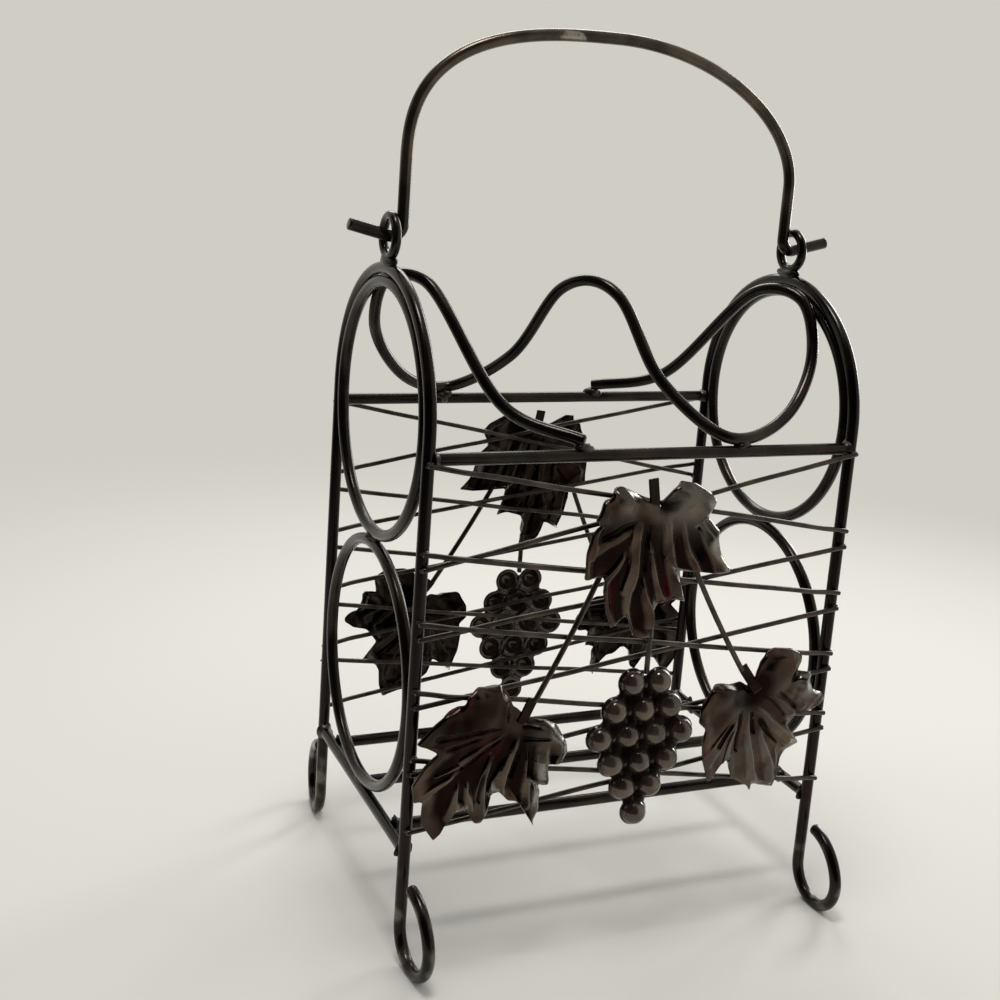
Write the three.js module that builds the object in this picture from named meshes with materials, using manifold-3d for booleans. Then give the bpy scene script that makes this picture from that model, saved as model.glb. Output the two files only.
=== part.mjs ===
// Wrought iron wine rack for two bottles, with a swinging bail handle and grape ornament.
// Millimetres, +Z up, origin on the floor under the middle. The bottles lie along X.
// The left and right ends, and the front (-Y) and rear (+Y) faces, are the same parts turned half round.

import * as THREE from 'three';
import { mergeVertices } from 'three/addons/utils/BufferGeometryUtils.js';
import Module from 'manifold-3d';

const wasm = await Module();
wasm.setup();

// Driving dimensions: stock
const ROD = 5;                    // main rod diameter
const EYELET_ROD = 4;             // rod of the handle eyelets
const WIRE = 2;                   // lattice wire diameter
const STEM = 2.4;                 // vine stem diameter
const WELD_GAP = 0.3;             // gap kept where two pieces touch and are welded

// Driving dimensions: ends
const FRAME_SPACING = 201;        // between the planes of the two end frames
const RING_RADIUS = 55;           // bottle ring, to the rod's centre
const RING_SIDE_CLEARANCE = 1;    // between a ring and each leg
const CROSSBAR_HEIGHT = 49;       // rod centre above the floor
const FOOT_RADIUS = 14.5;         // lower bend of the hooked feet
const FOOT_TIP_RADIUS = 22;       // slacker bend that brings the tip back to the leg
const FOOT_BEND_END = 15;         // degrees above level where the slack bend takes over
const FOOT_TIP_END = 85;          // degrees above level where the rod ends
const FOOT_TURNS = {              // degrees that the feet of each frame are turned inwards
  left: { front: 5, rear: 8 },
  right: { front: 0, rear: 0 },
};
const FOOT_FLAT = 0.8;            // worn flat under each foot
const EYELET_OUTSIDE = 21.7;      // outside diameter of a handle eyelet

// Driving dimensions: rails, scroll and handle
const TOP_RAIL_DROP = 8;          // top rails below the centre of the upper rings
const BOTTOM_RAIL_SPREAD = 42;    // outer bottom rails from the middle one
const BOTTOM_RAIL_LIFT = 1.5;     // bottom rails above the middle of the cross-bars
const SCROLL_CREST_DROP = 2.9;    // the scroll's middle hump below the top of the arches
const SCROLL_SIDE_DROP = 3.9;     // its bends beside the arches below the same height
const SCROLL_SHIFT = -4.5;        // middle hump and its two weld points, off the middle
const HANDLE_RISE = 89;           // handle crown above its pivot, to the rod's centre
const HANDLE_CLEARANCE = 0.1;     // between a handle leg and the arch that it swings past
const HANDLE_CROWN = 59;          // height of the curved part of the handle
const HANDLE_LEFT_FULLNESS = 2.8; // superellipse exponent of the crown's left half
const HANDLE_RIGHT_FULLNESS = 1.9;// and of its slacker right half
const HANDLE_BEND = 5;            // bend radius between a handle leg and its hook
const HOOK_REACH = 18.5;          // hook tip outside the end frame
const HOOK_LIFT = 4.5;            // hook tip above the pivot

// Driving dimensions: lattice and ornament
const WIRE_OVERHANG = 1;          // wire ends past the middle of the leg
const WIRE_TOP_DROP = 1.5;        // first wire level below the top rail
const WIRE_FIRST_STEP = 39.5;     // from the first level to the second
const WIRE_BOTTOM_RISE = 10;      // last level above the cross-bar
const WIRE_LEVELS = 6;
const WIRE_END_SPREAD = 7;        // between the two wire ends that share a level
const WIRE_BOW_RUN = 15;          // length at each end over which a lapping wire bows out
const LEAF_SHEET = 1;             // sheet thickness of the leaves
const LEAF_CUP = 6;               // how far the side lobes stand off the wires
const LEAF_HALF_WIDTH = 38;
const LEAF_LIP = 1.6;             // how far the rim is rolled back
const FOLD_RAISE = 1.5;           // pressed fold along each lobe
const GRAPE_RADIUS = 5.4;
const GRAPE_HEIGHT = 4.9;         // dome height over the sheet
const GRAPE_SHEET = 0.9;
const GRAPE_MARGIN = 1.2;         // flat rim round the outer grapes
const GRAPE_SPACING = 13.2;
const GRAPE_ROW_PITCH = 12;
const GRAPE_ROWS = [2, 3, 4, 3, 2, 1];
const STEM_BOW = 0.8;             // sideways bow of a side stem

// Leaves. Each was cut and bent by hand, so each has an outline of its own: across and up from the leaf's
// base, against the clock from the stalk, with true where a fold is pressed from the heart to a lobe's tip.
// The last two points are the end of the stalk. The whole edge can be seen from the heart.
const TOP_LEAF = {
  x: 0,
  belowTopRail: 17.6,
  turn: 0,
  heart: [-3, -22],
  outline: [
    [-7, 1.5], [-18, 6.5], [-24, 5.5, true], [-28, 1], [-31.5, -6.5], [-28.5, -8.5], [-34.5, -20],
    [-34.5, -31.5, true], [-24, -31.5], [-24, -38], [-22, -47], [-18.5, -54.5, true], [-10.5, -50],
    [-7.5, -58.5], [-1.5, -61.5, true], [4, -61.5], [2, -51], [4, -46], [17.5, -45.5, true], [14.5, -36.5],
    [13.5, -31.5], [30.5, -33], [37.5, -32, true], [32, -24], [30.5, -14], [24, -8], [27.5, -1.5], [25, 2.5],
    [17.5, 6.5, true], [9.5, 8], [5, 5], [1.5, -1], [-1, 9], [-5.3, 9],
  ],
};
const LEFT_LEAF = {
  x: -56,
  aboveCrossbar: 59,
  turn: -38,
  heart: [-13, -14],
  outline: [
    [-0.5, 3], [-6, 10.5], [-9.5, 15, true], [-21, 15.5], [-26, 12.5], [-35, 6.5], [-47.5, -5, true],
    [-37, -11], [-43, -17], [-47.5, -24], [-46, -32, true], [-42, -32], [-42, -42], [-35.5, -51, true],
    [-30, -41], [-22, -38.5], [-16, -46, true], [-12.5, -43.5], [-8, -32], [0.5, -37], [8, -48.5, true],
    [10.5, -42], [10, -31], [15, -30.5], [14.5, -21.5], [23, -18.5, true], [22, -13], [17.5, -5.5],
    [11.5, -2.5], [3.5, -1.5], [7.2, 6.2], [3.8, 7.9],
  ],
};
const RIGHT_LEAF = {
  x: 56,
  aboveCrossbar: 61,
  turn: 23,
  heart: [3, -14],
  outline: [
    [-5, 3.5], [-14.5, 3.5], [-19, 3.5, true], [-24, -1.5], [-27.5, -12], [-23.5, -15.5], [-25, -21],
    [-24, -29.5], [-20.5, -40, true], [-14.5, -35.5], [-9.5, -32.5], [-7, -40.5], [3, -46.5, true],
    [7, -46.5], [18, -49.5, true], [20.5, -35.5], [29.5, -29, true], [22.5, -20], [28, -13], [34.5, -12],
    [39.5, -8.5, true], [33.5, -3], [30.5, 2], [30.5, 6], [24, 6.5], [25, 14.5], [19.5, 17, true],
    [10.5, 17], [4, 13.5], [1.5, 6.5], [-3.3, 11.7], [-6.7, 9.3],
  ],
};
const LEAF_RINGS = [0.35, 0.72, 1];

// Where the side stems leave the top leaf, from its base, in the notches under its side lobes.
const LEFT_STEM_START = { x: -26, z: -33.5 };
const RIGHT_STEM_START = { x: 20, z: -33.6 };

// Grapes: X, and the top row above the cross-bars.
const GRAPES_PLACE = { x: 2, rise: 69 };
const ORNAMENT_SHIFT = { front: 0, rear: -6 };  // whole set sideways on its face

// Section and curve fineness
const ROD_SIDES = 8;
const WIRE_SIDES = 6;
const GRAPE_SIDES = 8;
const HOOP_SEGMENTS = 36;
const EYELET_SEGMENTS = 18;
const SCROLL_STEPS = 76;
const ARC_STEP = 15;              // degrees of bend to one facet

// Derived places, from the floor up
const touch = ROD + WELD_GAP;
const lowerRingHeight = CROSSBAR_HEIGHT + touch + RING_RADIUS;
const upperRingHeight = lowerRingHeight + 2 * RING_RADIUS + touch;
const archTop = upperRingHeight + RING_RADIUS + touch;
const topRailHeight = upperRingHeight - TOP_RAIL_DROP;
const bottomRailHeight = CROSSBAR_HEIGHT + BOTTOM_RAIL_LIFT;
const legOffset = RING_RADIUS + ROD + RING_SIDE_CLEARANCE;
const archSpring = archTop - legOffset;
const endX = FRAME_SPACING / 2;
const eyeletRadius = (EYELET_OUTSIDE - EYELET_ROD) / 2;
const pivotHeight = archTop + ROD / 2 + WELD_GAP + EYELET_OUTSIDE / 2;
const legFace = legOffset + ROD / 2;
const wireY = legFace + WELD_GAP + WIRE / 2;
const lapWireY = wireY + WIRE + WELD_GAP;
const ornamentY = lapWireY + WIRE / 2 + WELD_GAP;
const topLeaf = { ...TOP_LEAF, z: topRailHeight - TOP_LEAF.belowTopRail };
const leftLeaf = { ...LEFT_LEAF, z: CROSSBAR_HEIGHT + LEFT_LEAF.aboveCrossbar };
const rightLeaf = { ...RIGHT_LEAF, z: CROSSBAR_HEIGHT + RIGHT_LEAF.aboveCrossbar };
const grapes = { ...GRAPES_PLACE, z: CROSSBAR_HEIGHT + GRAPES_PLACE.rise };

// Finish: near-black lacquered iron, a little browner on the pressed ornament
const lacqueredIron = new THREE.MeshStandardMaterial({ color: 0x2b2826, roughness: 0.38, metalness: 0.7 });
const ornamentIron = new THREE.MeshStandardMaterial({ color: 0x322b28, roughness: 0.42, metalness: 0.65 });

const radians = THREE.MathUtils.degToRad;
const point = (x, y, z) => new THREE.Vector3(x, y, z);

// A path through given stations. Every station is one step, so a straight run costs one facet.
class StationPath extends THREE.Curve {
  constructor(stations) {
    super();
    this.stations = stations;
  }

  getPoint(t, target = new THREE.Vector3()) {
    const last = this.stations.length - 1;
    const place = THREE.MathUtils.clamp(t, 0, 1) * last;
    const index = Math.min(Math.floor(place), last - 1);
    return target.lerpVectors(this.stations[index], this.stations[index + 1], place - index);
  }

  getUtoTmapping(u) {
    return u;
  }
}

function roundSection(diameter, sides) {
  const corners = [];
  for (let i = 0; i < sides; i += 1) {
    const angle = ((i + 0.5) / sides) * Math.PI * 2;
    corners.push(new THREE.Vector2(Math.cos(angle), Math.sin(angle)).multiplyScalar(diameter / 2));
  }
  return new THREE.Shape(corners);
}

function rodAlong(stations, diameter, sides) {
  return new THREE.ExtrudeGeometry(roundSection(diameter, sides), {
    steps: stations.length - 1,
    extrudePath: new StationPath(stations),
  });
}

// Numbers from start to end, one for each step of about the given size.
function sweep(start, end, step) {
  const count = Math.max(1, Math.round(Math.abs(end - start) / step));
  return Array.from({ length: count + 1 }, (_, i) => start + ((end - start) * i) / count);
}

function toSolid(geometry) {
  const bare = geometry.index ? geometry.clone() : geometry;
  bare.deleteAttribute('normal');
  bare.deleteAttribute('uv');
  const merged = mergeVertices(bare, 1e-4);
  return new wasm.Manifold(new wasm.Mesh({
    numProp: 3,
    vertProperties: Float32Array.from(merged.attributes.position.array),
    triVerts: Uint32Array.from(merged.index.array),
  }));
}

function toGeometry(solid) {
  const { vertProperties, triVerts } = solid.getMesh();
  const geometry = new THREE.BufferGeometry();
  geometry.setAttribute('position', new THREE.BufferAttribute(vertProperties, 3));
  geometry.setIndex(new THREE.BufferAttribute(triVerts, 1));
  geometry.computeVertexNormals();
  return geometry;
}

function addPiece(parent, name, geometry, material = lacqueredIron) {
  const mesh = new THREE.Mesh(geometry, material);
  mesh.name = name;
  parent.add(mesh);
  return mesh;
}

// End frame: one rod bent into two hooked feet, two legs and an arch, in the plane x = 0.
// Stations of a foot run from the leg to the tip, on the side given by sign: -1 is near and 1 is far.
function footStations(sign, turn) {
  const lowCentre = { out: FOOT_RADIUS, up: FOOT_RADIUS + ROD / 2 - FOOT_FLAT };
  const change = radians(FOOT_BEND_END);
  const shift = FOOT_RADIUS - FOOT_TIP_RADIUS;
  const tipCentre = {
    out: lowCentre.out + shift * Math.cos(change),
    up: lowCentre.up + shift * Math.sin(change),
  };
  const onArc = (centre, radius) => (degrees) => ({
    out: centre.out + radius * Math.cos(radians(degrees)),
    up: centre.up + radius * Math.sin(radians(degrees)),
  });
  const lowBend = sweep(-180, FOOT_BEND_END, ARC_STEP * 1.3).map(onArc(lowCentre, FOOT_RADIUS));
  const tipBend = sweep(FOOT_BEND_END, FOOT_TIP_END, ARC_STEP).map(onArc(tipCentre, FOOT_TIP_RADIUS));
  const inward = Math.sin(radians(turn));
  const outward = Math.cos(radians(turn));
  return [...lowBend, ...tipBend.slice(1)]
    .map(({ out, up }) => point(out * inward, sign * (legOffset + out * outward), up));
}

function endFrameGeometry(nearTurn, farTurn) {
  const arch = sweep(180, 0, ARC_STEP / 2).map((degrees) => {
    const angle = radians(degrees);
    return point(0, legOffset * Math.cos(angle), archSpring + legOffset * Math.sin(angle));
  });
  const nearFoot = footStations(-1, nearTurn).reverse();
  const farFoot = footStations(1, farTurn);
  const rod = toSolid(rodAlong([...nearFoot, ...arch, ...farFoot], ROD, ROD_SIDES));
  const floorDepth = 10;
  const floorSide = 6 * legOffset;
  const floor = new THREE.BoxGeometry(floorSide, floorSide, floorDepth);
  floor.translate(0, 0, -floorDepth / 2);
  return toGeometry(rod.subtract(toSolid(floor)));
}

function hoopGeometry(radius, diameter, sides, segments) {
  const hoop = new THREE.TorusGeometry(radius, diameter / 2, sides, segments);
  return hoop.rotateY(Math.PI / 2);
}

// The right end is the left one turned half round, so its near foot is the one at the rear.
function addEnd(parent, side, turn) {
  const end = new THREE.Group();
  end.rotation.z = turn;
  parent.add(end);
  const plane = new THREE.Group();
  plane.position.x = -endX;
  end.add(plane);

  const { front, rear } = FOOT_TURNS[side];
  const frame = side === 'left' ? endFrameGeometry(front, rear) : endFrameGeometry(rear, front);
  addPiece(plane, `${side}_end_frame`, frame);
  const rings = { upper: upperRingHeight, lower: lowerRingHeight };
  for (const [level, height] of Object.entries(rings)) {
    addPiece(plane, `${side}_${level}_bottle_ring`, hoopGeometry(RING_RADIUS, ROD, ROD_SIDES, HOOP_SEGMENTS))
      .position.z = height;
  }
  const halfBar = legOffset - ROD / 2 - WELD_GAP;
  const bar = [point(0, -halfBar, CROSSBAR_HEIGHT), point(0, halfBar, CROSSBAR_HEIGHT)];
  addPiece(plane, `${side}_cross_bar`, rodAlong(bar, ROD, ROD_SIDES));
  addPiece(plane, `${side}_handle_eyelet`, hoopGeometry(eyeletRadius, EYELET_ROD, ROD_SIDES, EYELET_SEGMENTS))
    .position.z = pivotHeight;
}

// Rails butt against the legs and the cross-bars.
function addRails(parent) {
  const reach = endX - ROD / 2 - WELD_GAP;
  const rails = {
    front_top_rail: [-legOffset, topRailHeight],
    rear_top_rail: [legOffset, topRailHeight],
    front_bottom_rail: [-BOTTOM_RAIL_SPREAD, bottomRailHeight],
    middle_bottom_rail: [0, bottomRailHeight],
    rear_bottom_rail: [BOTTOM_RAIL_SPREAD, bottomRailHeight],
  };
  for (const [name, [y, z]] of Object.entries(rails)) {
    addPiece(parent, name, rodAlong([point(-reach, y, z), point(reach, y, z)], ROD, ROD_SIDES));
  }
}

// Scroll: one rod from the front rail up beside the left arch, down to the rear rail, over a middle
// hump to the front rail, up beside the right arch and down to the rear rail. Its second half is the
// first turned half round. This is its middle line, for points at given places over the rails and
// beside the arches.
function scrollCurve(railTop, besideArch) {
  const sideCrest = archTop - SCROLL_SIDE_DROP;
  const crest = archTop - SCROLL_CREST_DROP;
  const half = [
    point(besideArch + 61, -legOffset, railTop),
    point(besideArch + 35, -legOffset + 22, railTop + 9),
    point(besideArch + 10.5, legOffset - 57, sideCrest - 1),
    point(besideArch, legOffset - 39, sideCrest - 3),
    point(besideArch, legOffset - 26, sideCrest - 26),
    point(besideArch + 21, legOffset - 11, railTop + 7),
  ];
  const halfHump = [
    point(-42, legOffset - 1, railTop),
    point(-21, legOffset - 27, railTop + 20),
    point(-8, legOffset - 48, crest - 5.5),
  ];
  const turned = (points) => points.map((p) => point(-p.x, -p.y, p.z)).reverse();
  const hump = [...halfHump, point(0, 0, crest), ...turned(halfHump)];
  hump.forEach((p) => p.setX(p.x + SCROLL_SHIFT));
  return new THREE.CatmullRomCurve3([...half, ...hump, ...turned(half)], false, 'centripetal');
}

// A first curve shows how far it sinks below its points on the rails and swells past those beside the
// arches. The second is moved by that much.
function scrollGeometry() {
  const railTop = topRailHeight + touch;
  const besideArch = -(endX - touch);
  const firstTry = scrollCurve(railTop, besideArch).getPoints(SCROLL_STEPS);
  const sink = railTop - Math.min(...firstTry.map((p) => p.z));
  const swell = besideArch - Math.min(...firstTry.map((p) => p.x));
  const stations = scrollCurve(railTop + sink, besideArch + swell).getPoints(SCROLL_STEPS);
  return rodAlong(stations, ROD, ROD_SIDES);
}

// Handle: a flattened arch on two legs, with the ends bent outwards as hooks through the eyelets.
// It is made about its pivot line, in the plane y = 0.
function handleGeometry() {
  const legX = endX - ROD - HANDLE_CLEARANCE;
  const crownBase = HANDLE_RISE - HANDLE_CROWN;
  const crown = sweep(180, 0, ARC_STEP / 2).map((degrees) => {
    const across = Math.cos(radians(degrees));
    const up = Math.sin(radians(degrees));
    const fullness = across < 0 ? HANDLE_LEFT_FULLNESS : HANDLE_RIGHT_FULLNESS;
    return point(
      Math.sign(across) * legX * Math.abs(across) ** (2 / fullness),
      0,
      crownBase + HANDLE_CROWN * up ** (2 / fullness),
    );
  });
  const hook = (sign) => [
    point(sign * (endX + HOOK_REACH), 0, HOOK_LIFT),
    ...sweep(-90, -180, ARC_STEP * 2).map((degrees) => point(
      sign * (legX + HANDLE_BEND + HANDLE_BEND * Math.cos(radians(degrees))),
      0,
      HANDLE_BEND + HANDLE_BEND * Math.sin(radians(degrees)),
    )),
  ];
  return rodAlong([...hook(-1), ...crown, ...hook(1).reverse()], ROD, ROD_SIDES);
}

// Lattice: wires across the outside of the legs in crossing pairs. One of each pair lies straight on
// the legs, and the other bows out over it.
function wireLevel(index) {
  const first = topRailHeight - WIRE_TOP_DROP;
  if (index === 0) return first;
  const second = first - WIRE_FIRST_STEP;
  const last = CROSSBAR_HEIGHT + WIRE_BOTTOM_RISE;
  return second + ((last - second) * (index - 1)) / (WIRE_LEVELS - 2);
}

function addLattice(face, side) {
  const wireEnd = endX + WIRE_OVERHANG;
  const bowEnd = endX - WIRE_BOW_RUN;
  for (let i = 0; i < WIRE_LEVELS - 1; i += 1) {
    const high = wireLevel(i);
    const low = wireLevel(i + 1);
    const upFrom = low - (i < WIRE_LEVELS - 2 ? WIRE_END_SPREAD / 2 : 0);
    const upTo = high - (i > 0 ? WIRE_END_SPREAD / 2 : 0);
    const downFrom = high + (i > 0 ? WIRE_END_SPREAD / 2 : 0);
    const downTo = low + (i < WIRE_LEVELS - 2 ? WIRE_END_SPREAD / 2 : 0);
    const onLine = (from, to) => (x, y) => (
      point(x, -y, THREE.MathUtils.mapLinear(x, -wireEnd, wireEnd, from, to))
    );
    const rising = onLine(upFrom, upTo);
    const falling = onLine(downFrom, downTo);
    const straight = [rising(-wireEnd, wireY), rising(wireEnd, wireY)];
    const bowed = [
      falling(-wireEnd, wireY), falling(-endX + ROD / 2, wireY), falling(-bowEnd, lapWireY),
      falling(bowEnd, lapWireY), falling(endX - ROD / 2, wireY), falling(wireEnd, wireY),
    ];
    addPiece(face, `${side}_rising_wire_${i + 1}`, rodAlong(straight, WIRE, WIRE_SIDES));
    addPiece(face, `${side}_falling_wire_${i + 1}`, rodAlong(bowed, WIRE, WIRE_SIDES));
  }
}

// Leaf: a pressed sheet with toothed lobes and a stalk. The sheet is a fan of rings round its heart,
// cupped across the line that it is turned to, with the rim rolled back and a fold along each lobe.
// Local frame: base at the origin, front along -Y, back of the base at y = 0.
function leafGeometry({ turn, heart, outline }) {
  const across = (x, z) => x * Math.cos(radians(turn)) + z * Math.sin(radians(turn));
  const cup = (x, z) => LEAF_CUP * (across(x, z) / LEAF_HALF_WIDTH) ** 2;
  const [heartX, heartZ] = heart;
  const positions = [];
  const indices = [];
  const layerSize = 1 + LEAF_RINGS.length * outline.length;
  for (const lift of [LEAF_SHEET, 0]) {
    positions.push(heartX, -(lift + cup(heartX, heartZ) + LEAF_LIP), heartZ);
    for (const share of LEAF_RINGS) {
      for (const [edgeX, edgeZ, fold] of outline) {
        const x = THREE.MathUtils.lerp(heartX, edgeX, share);
        const z = THREE.MathUtils.lerp(heartZ, edgeZ, share);
        const pressed = fold && share < 1 ? FOLD_RAISE : 0;
        const height = lift + cup(x, z) + LEAF_LIP * (1 - share ** 6) + pressed;
        positions.push(x, -height, z);
      }
    }
  }
  const vertex = (layer, ring, spoke) => {
    const start = layer * layerSize;
    return ring === 0 ? start : start + 1 + (ring - 1) * outline.length + (spoke % outline.length);
  };
  const rim = LEAF_RINGS.length;
  const addFacet = (a, b, c, flip) => indices.push(...(flip ? [a, b, c] : [a, c, b]));
  for (let s = 0; s < outline.length; s += 1) {
    for (const layer of [0, 1]) {
      const flip = layer === 1;
      addFacet(vertex(layer, 0, s), vertex(layer, 1, s + 1), vertex(layer, 1, s), flip);
      for (let r = 1; r < rim; r += 1) {
        addFacet(vertex(layer, r, s), vertex(layer, r, s + 1), vertex(layer, r + 1, s), flip);
        addFacet(vertex(layer, r, s + 1), vertex(layer, r + 1, s + 1), vertex(layer, r + 1, s), flip);
      }
    }
    addFacet(vertex(0, rim, s), vertex(0, rim, s + 1), vertex(1, rim, s), false);
    addFacet(vertex(0, rim, s + 1), vertex(1, rim, s + 1), vertex(1, rim, s), false);
  }
  const geometry = new THREE.BufferGeometry();
  geometry.setAttribute('position', new THREE.Float32BufferAttribute(positions, 3));
  geometry.setIndex(indices);
  geometry.computeVertexNormals();
  return geometry;
}

// Places of the grapes about the middle of the top row, row by row.
function grapePlaces() {
  return GRAPE_ROWS.flatMap((count, row) => Array.from({ length: count }, (_, i) => (
    { x: (i - (count - 1) / 2) * GRAPE_SPACING, z: -row * GRAPE_ROW_PITCH }
  )));
}

// Grape bunch: a sheet with a scalloped edge and hollow pressed domes, back at y = 0, front along -Y.
function grapeGeometry() {
  const places = grapePlaces();
  const firstRow = (row) => GRAPE_ROWS.slice(0, row).reduce((sum, count) => sum + count, 0);
  const leftEdge = GRAPE_ROWS.map((count, row) => places[firstRow(row)]);
  const rightEdge = GRAPE_ROWS.map((count, row) => places[firstRow(row) + count - 1]).reverse();
  const edge = [...leftEdge, ...rightEdge.slice(1)];
  const middle = new THREE.Shape(edge.map(({ x, z }) => new THREE.Vector2(x, z)));
  const web = new THREE.ExtrudeGeometry(middle, { depth: GRAPE_SHEET, bevelEnabled: false });
  let solid = toSolid(web.rotateX(Math.PI / 2));
  const dome = (radius, height, rows) => (
    new THREE.SphereGeometry(radius, GRAPE_SIDES, rows).scale(1, height / radius, 1)
  );
  for (const { x, z } of places) {
    const rimRadius = GRAPE_RADIUS + GRAPE_MARGIN;
    const disc = new THREE.CylinderGeometry(rimRadius, rimRadius, GRAPE_SHEET, GRAPE_SIDES);
    solid = solid.add(toSolid(disc.translate(x, -GRAPE_SHEET / 2, z)));
  }
  for (const { x, z } of places) {
    const outer = dome(GRAPE_RADIUS, GRAPE_HEIGHT + GRAPE_SHEET, 6);
    solid = solid.add(toSolid(outer.translate(x, 0, z)));
  }
  for (const { x, z } of places) {
    const hollow = dome(GRAPE_RADIUS - GRAPE_SHEET, GRAPE_HEIGHT, 4);
    solid = solid.subtract(toSolid(hollow.translate(x, 0, z)));
  }
  const behindSide = 20 * GRAPE_SPACING;
  const behind = new THREE.BoxGeometry(behindSide, behindSide, behindSide);
  solid = solid.subtract(toSolid(behind.translate(0, behindSide / 2, 0)));
  return toGeometry(solid);
}

// End of a placed leaf's stalk, with the gap of a weld beyond it.
function stalkEnd({ x, z, outline }) {
  const [[firstX, firstZ], [secondX, secondZ]] = outline.slice(-2);
  const end = new THREE.Vector2(firstX + secondX, firstZ + secondZ).divideScalar(2);
  const beyond = new THREE.Vector2(firstZ - secondZ, secondX - firstX).setLength(WELD_GAP);
  const reach = end.dot(beyond) < 0 ? end.sub(beyond) : end.add(beyond);
  return { x: x + reach.x, z: z + reach.y };
}

function addOrnament(parent, side) {
  const face = new THREE.Group();
  face.position.x = ORNAMENT_SHIFT[side];
  parent.add(face);
  const leaves = { top: topLeaf, left: leftLeaf, right: rightLeaf };
  for (const [name, leaf] of Object.entries(leaves)) {
    addPiece(face, `${side}_${name}_leaf`, leafGeometry(leaf), ornamentIron)
      .position.set(leaf.x, -ornamentY, leaf.z);
  }
  const bunch = addPiece(face, `${side}_grape_bunch`, grapeGeometry(), ornamentIron);
  bunch.position.set(grapes.x, -ornamentY, grapes.z);

  const stemY = ornamentY + STEM / 2;
  const besideStem = GRAPE_SPACING / 2 - STEM / 2;
  const notch = grapes.z + Math.sqrt((GRAPE_RADIUS + GRAPE_MARGIN) ** 2 - besideStem ** 2) + WELD_GAP;
  const underTip = topLeaf.z + Math.min(...topLeaf.outline.map(([, edgeZ]) => edgeZ)) - WELD_GAP;
  const onTopLeaf = ({ x, z }) => ({ x: topLeaf.x + x, z: topLeaf.z + z });
  const routes = {
    left: [onTopLeaf(LEFT_STEM_START), stalkEnd(leftLeaf), STEM_BOW],
    right: [onTopLeaf(RIGHT_STEM_START), stalkEnd(rightLeaf), -STEM_BOW],
    middle: [{ x: grapes.x, z: underTip }, { x: grapes.x, z: notch }, 0],
  };
  for (const [name, [from, to, bow]] of Object.entries(routes)) {
    const stations = sweep(0, 1, 0.2).map((share) => point(
      THREE.MathUtils.lerp(from.x, to.x, share) + bow * Math.sin(Math.PI * share),
      -stemY,
      THREE.MathUtils.lerp(from.z, to.z, share),
    ));
    addPiece(face, `${side}_${name}_stem`, rodAlong(stations, STEM, WIRE_SIDES), ornamentIron);
  }
}

function addFace(parent, side, turn) {
  const face = new THREE.Group();
  face.rotation.z = turn;
  parent.add(face);
  addLattice(face, side);
  addOrnament(face, side);
}

const wineRack = new THREE.Group();
addEnd(wineRack, 'left', 0);
addEnd(wineRack, 'right', Math.PI);
addRails(wineRack);
addPiece(wineRack, 'scroll_rod', scrollGeometry());
addPiece(wineRack, 'bail_handle', handleGeometry()).position.z = pivotHeight;
addFace(wineRack, 'front', 0);
addFace(wineRack, 'rear', Math.PI);

export default wineRack;
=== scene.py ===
"""Looks of a wrought iron wine rack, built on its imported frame.

Lengths are millimetres until a mesh is made, which is in metres. +Z is up and the photographed face looks
along -Y. The rear face and the right end are the front face and the left end turned half round.
"""

from __future__ import annotations

import logging
import math
from dataclasses import dataclass, replace
from enum import Enum

import bpy
import numpy as np
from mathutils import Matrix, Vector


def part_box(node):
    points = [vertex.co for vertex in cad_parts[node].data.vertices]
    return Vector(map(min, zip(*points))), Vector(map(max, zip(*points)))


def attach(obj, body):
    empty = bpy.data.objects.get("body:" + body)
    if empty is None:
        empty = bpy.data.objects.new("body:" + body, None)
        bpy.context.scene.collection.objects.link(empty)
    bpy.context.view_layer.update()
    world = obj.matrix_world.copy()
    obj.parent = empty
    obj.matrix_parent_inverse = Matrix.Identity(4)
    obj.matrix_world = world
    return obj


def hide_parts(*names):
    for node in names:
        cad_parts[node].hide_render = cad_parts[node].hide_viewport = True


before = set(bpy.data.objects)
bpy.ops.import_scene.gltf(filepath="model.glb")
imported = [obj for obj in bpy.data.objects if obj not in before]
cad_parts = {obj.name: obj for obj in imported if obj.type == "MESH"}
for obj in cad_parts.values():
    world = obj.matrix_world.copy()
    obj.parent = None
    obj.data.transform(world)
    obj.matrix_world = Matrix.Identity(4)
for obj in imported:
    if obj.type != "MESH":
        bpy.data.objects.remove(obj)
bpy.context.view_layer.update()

LOG = logging.getLogger("wine_rack")

Array = np.ndarray
Pair = tuple[float, float]
Triple = tuple[float, float, float]
Colour = tuple[float, float, float, float]
Line = tuple[float, float, float, float, float, float]
MM = 0.001
UP = np.array((0.0, 0.0, 1.0))
ALONG_X = np.array((1.0, 0.0, 0.0))
ALONG_Y = np.array((0.0, 1.0, 0.0))

ROD_RADIUS = 2.65        # main rods, the 5 mm stock of the frame under a coat of lacquer
EYELET_RADIUS = 2.1
WIRE_RADIUS = 1.1
STEM_RADIUS = 1.2
WIRE_PAIRS = 5           # pairs of crossing wires on each long face
ORNAMENT_BACK = 68.4     # from the middle of the rack to the back of its leaves, grapes and stems
ROD_SIDES = 24
WIRE_SIDES = 14
ROD_EDGE = 0.7           # radius of the broken edge at a rod's sawn end
WIRE_EDGE = 0.35
PATH_STEP = 1.6          # between two stations of a swept rod
HOOP_STATIONS = 48       # the fewest round a hoop


class Turn(Enum):
    """Which copy of a piece is made: as drawn, or turned half round the upright through the middle."""

    AS_DRAWN = 1.0
    HALF_ROUND = -1.0

    def place(self, points: Array) -> Array:
        """Points moved to where this copy stands."""
        return points * np.array((self.value, self.value, 1.0))


class Slot(str, Enum):
    """Material slots of the record."""

    ROD = "lacquered_iron"
    ORNAMENT = "ornament_iron"


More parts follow.
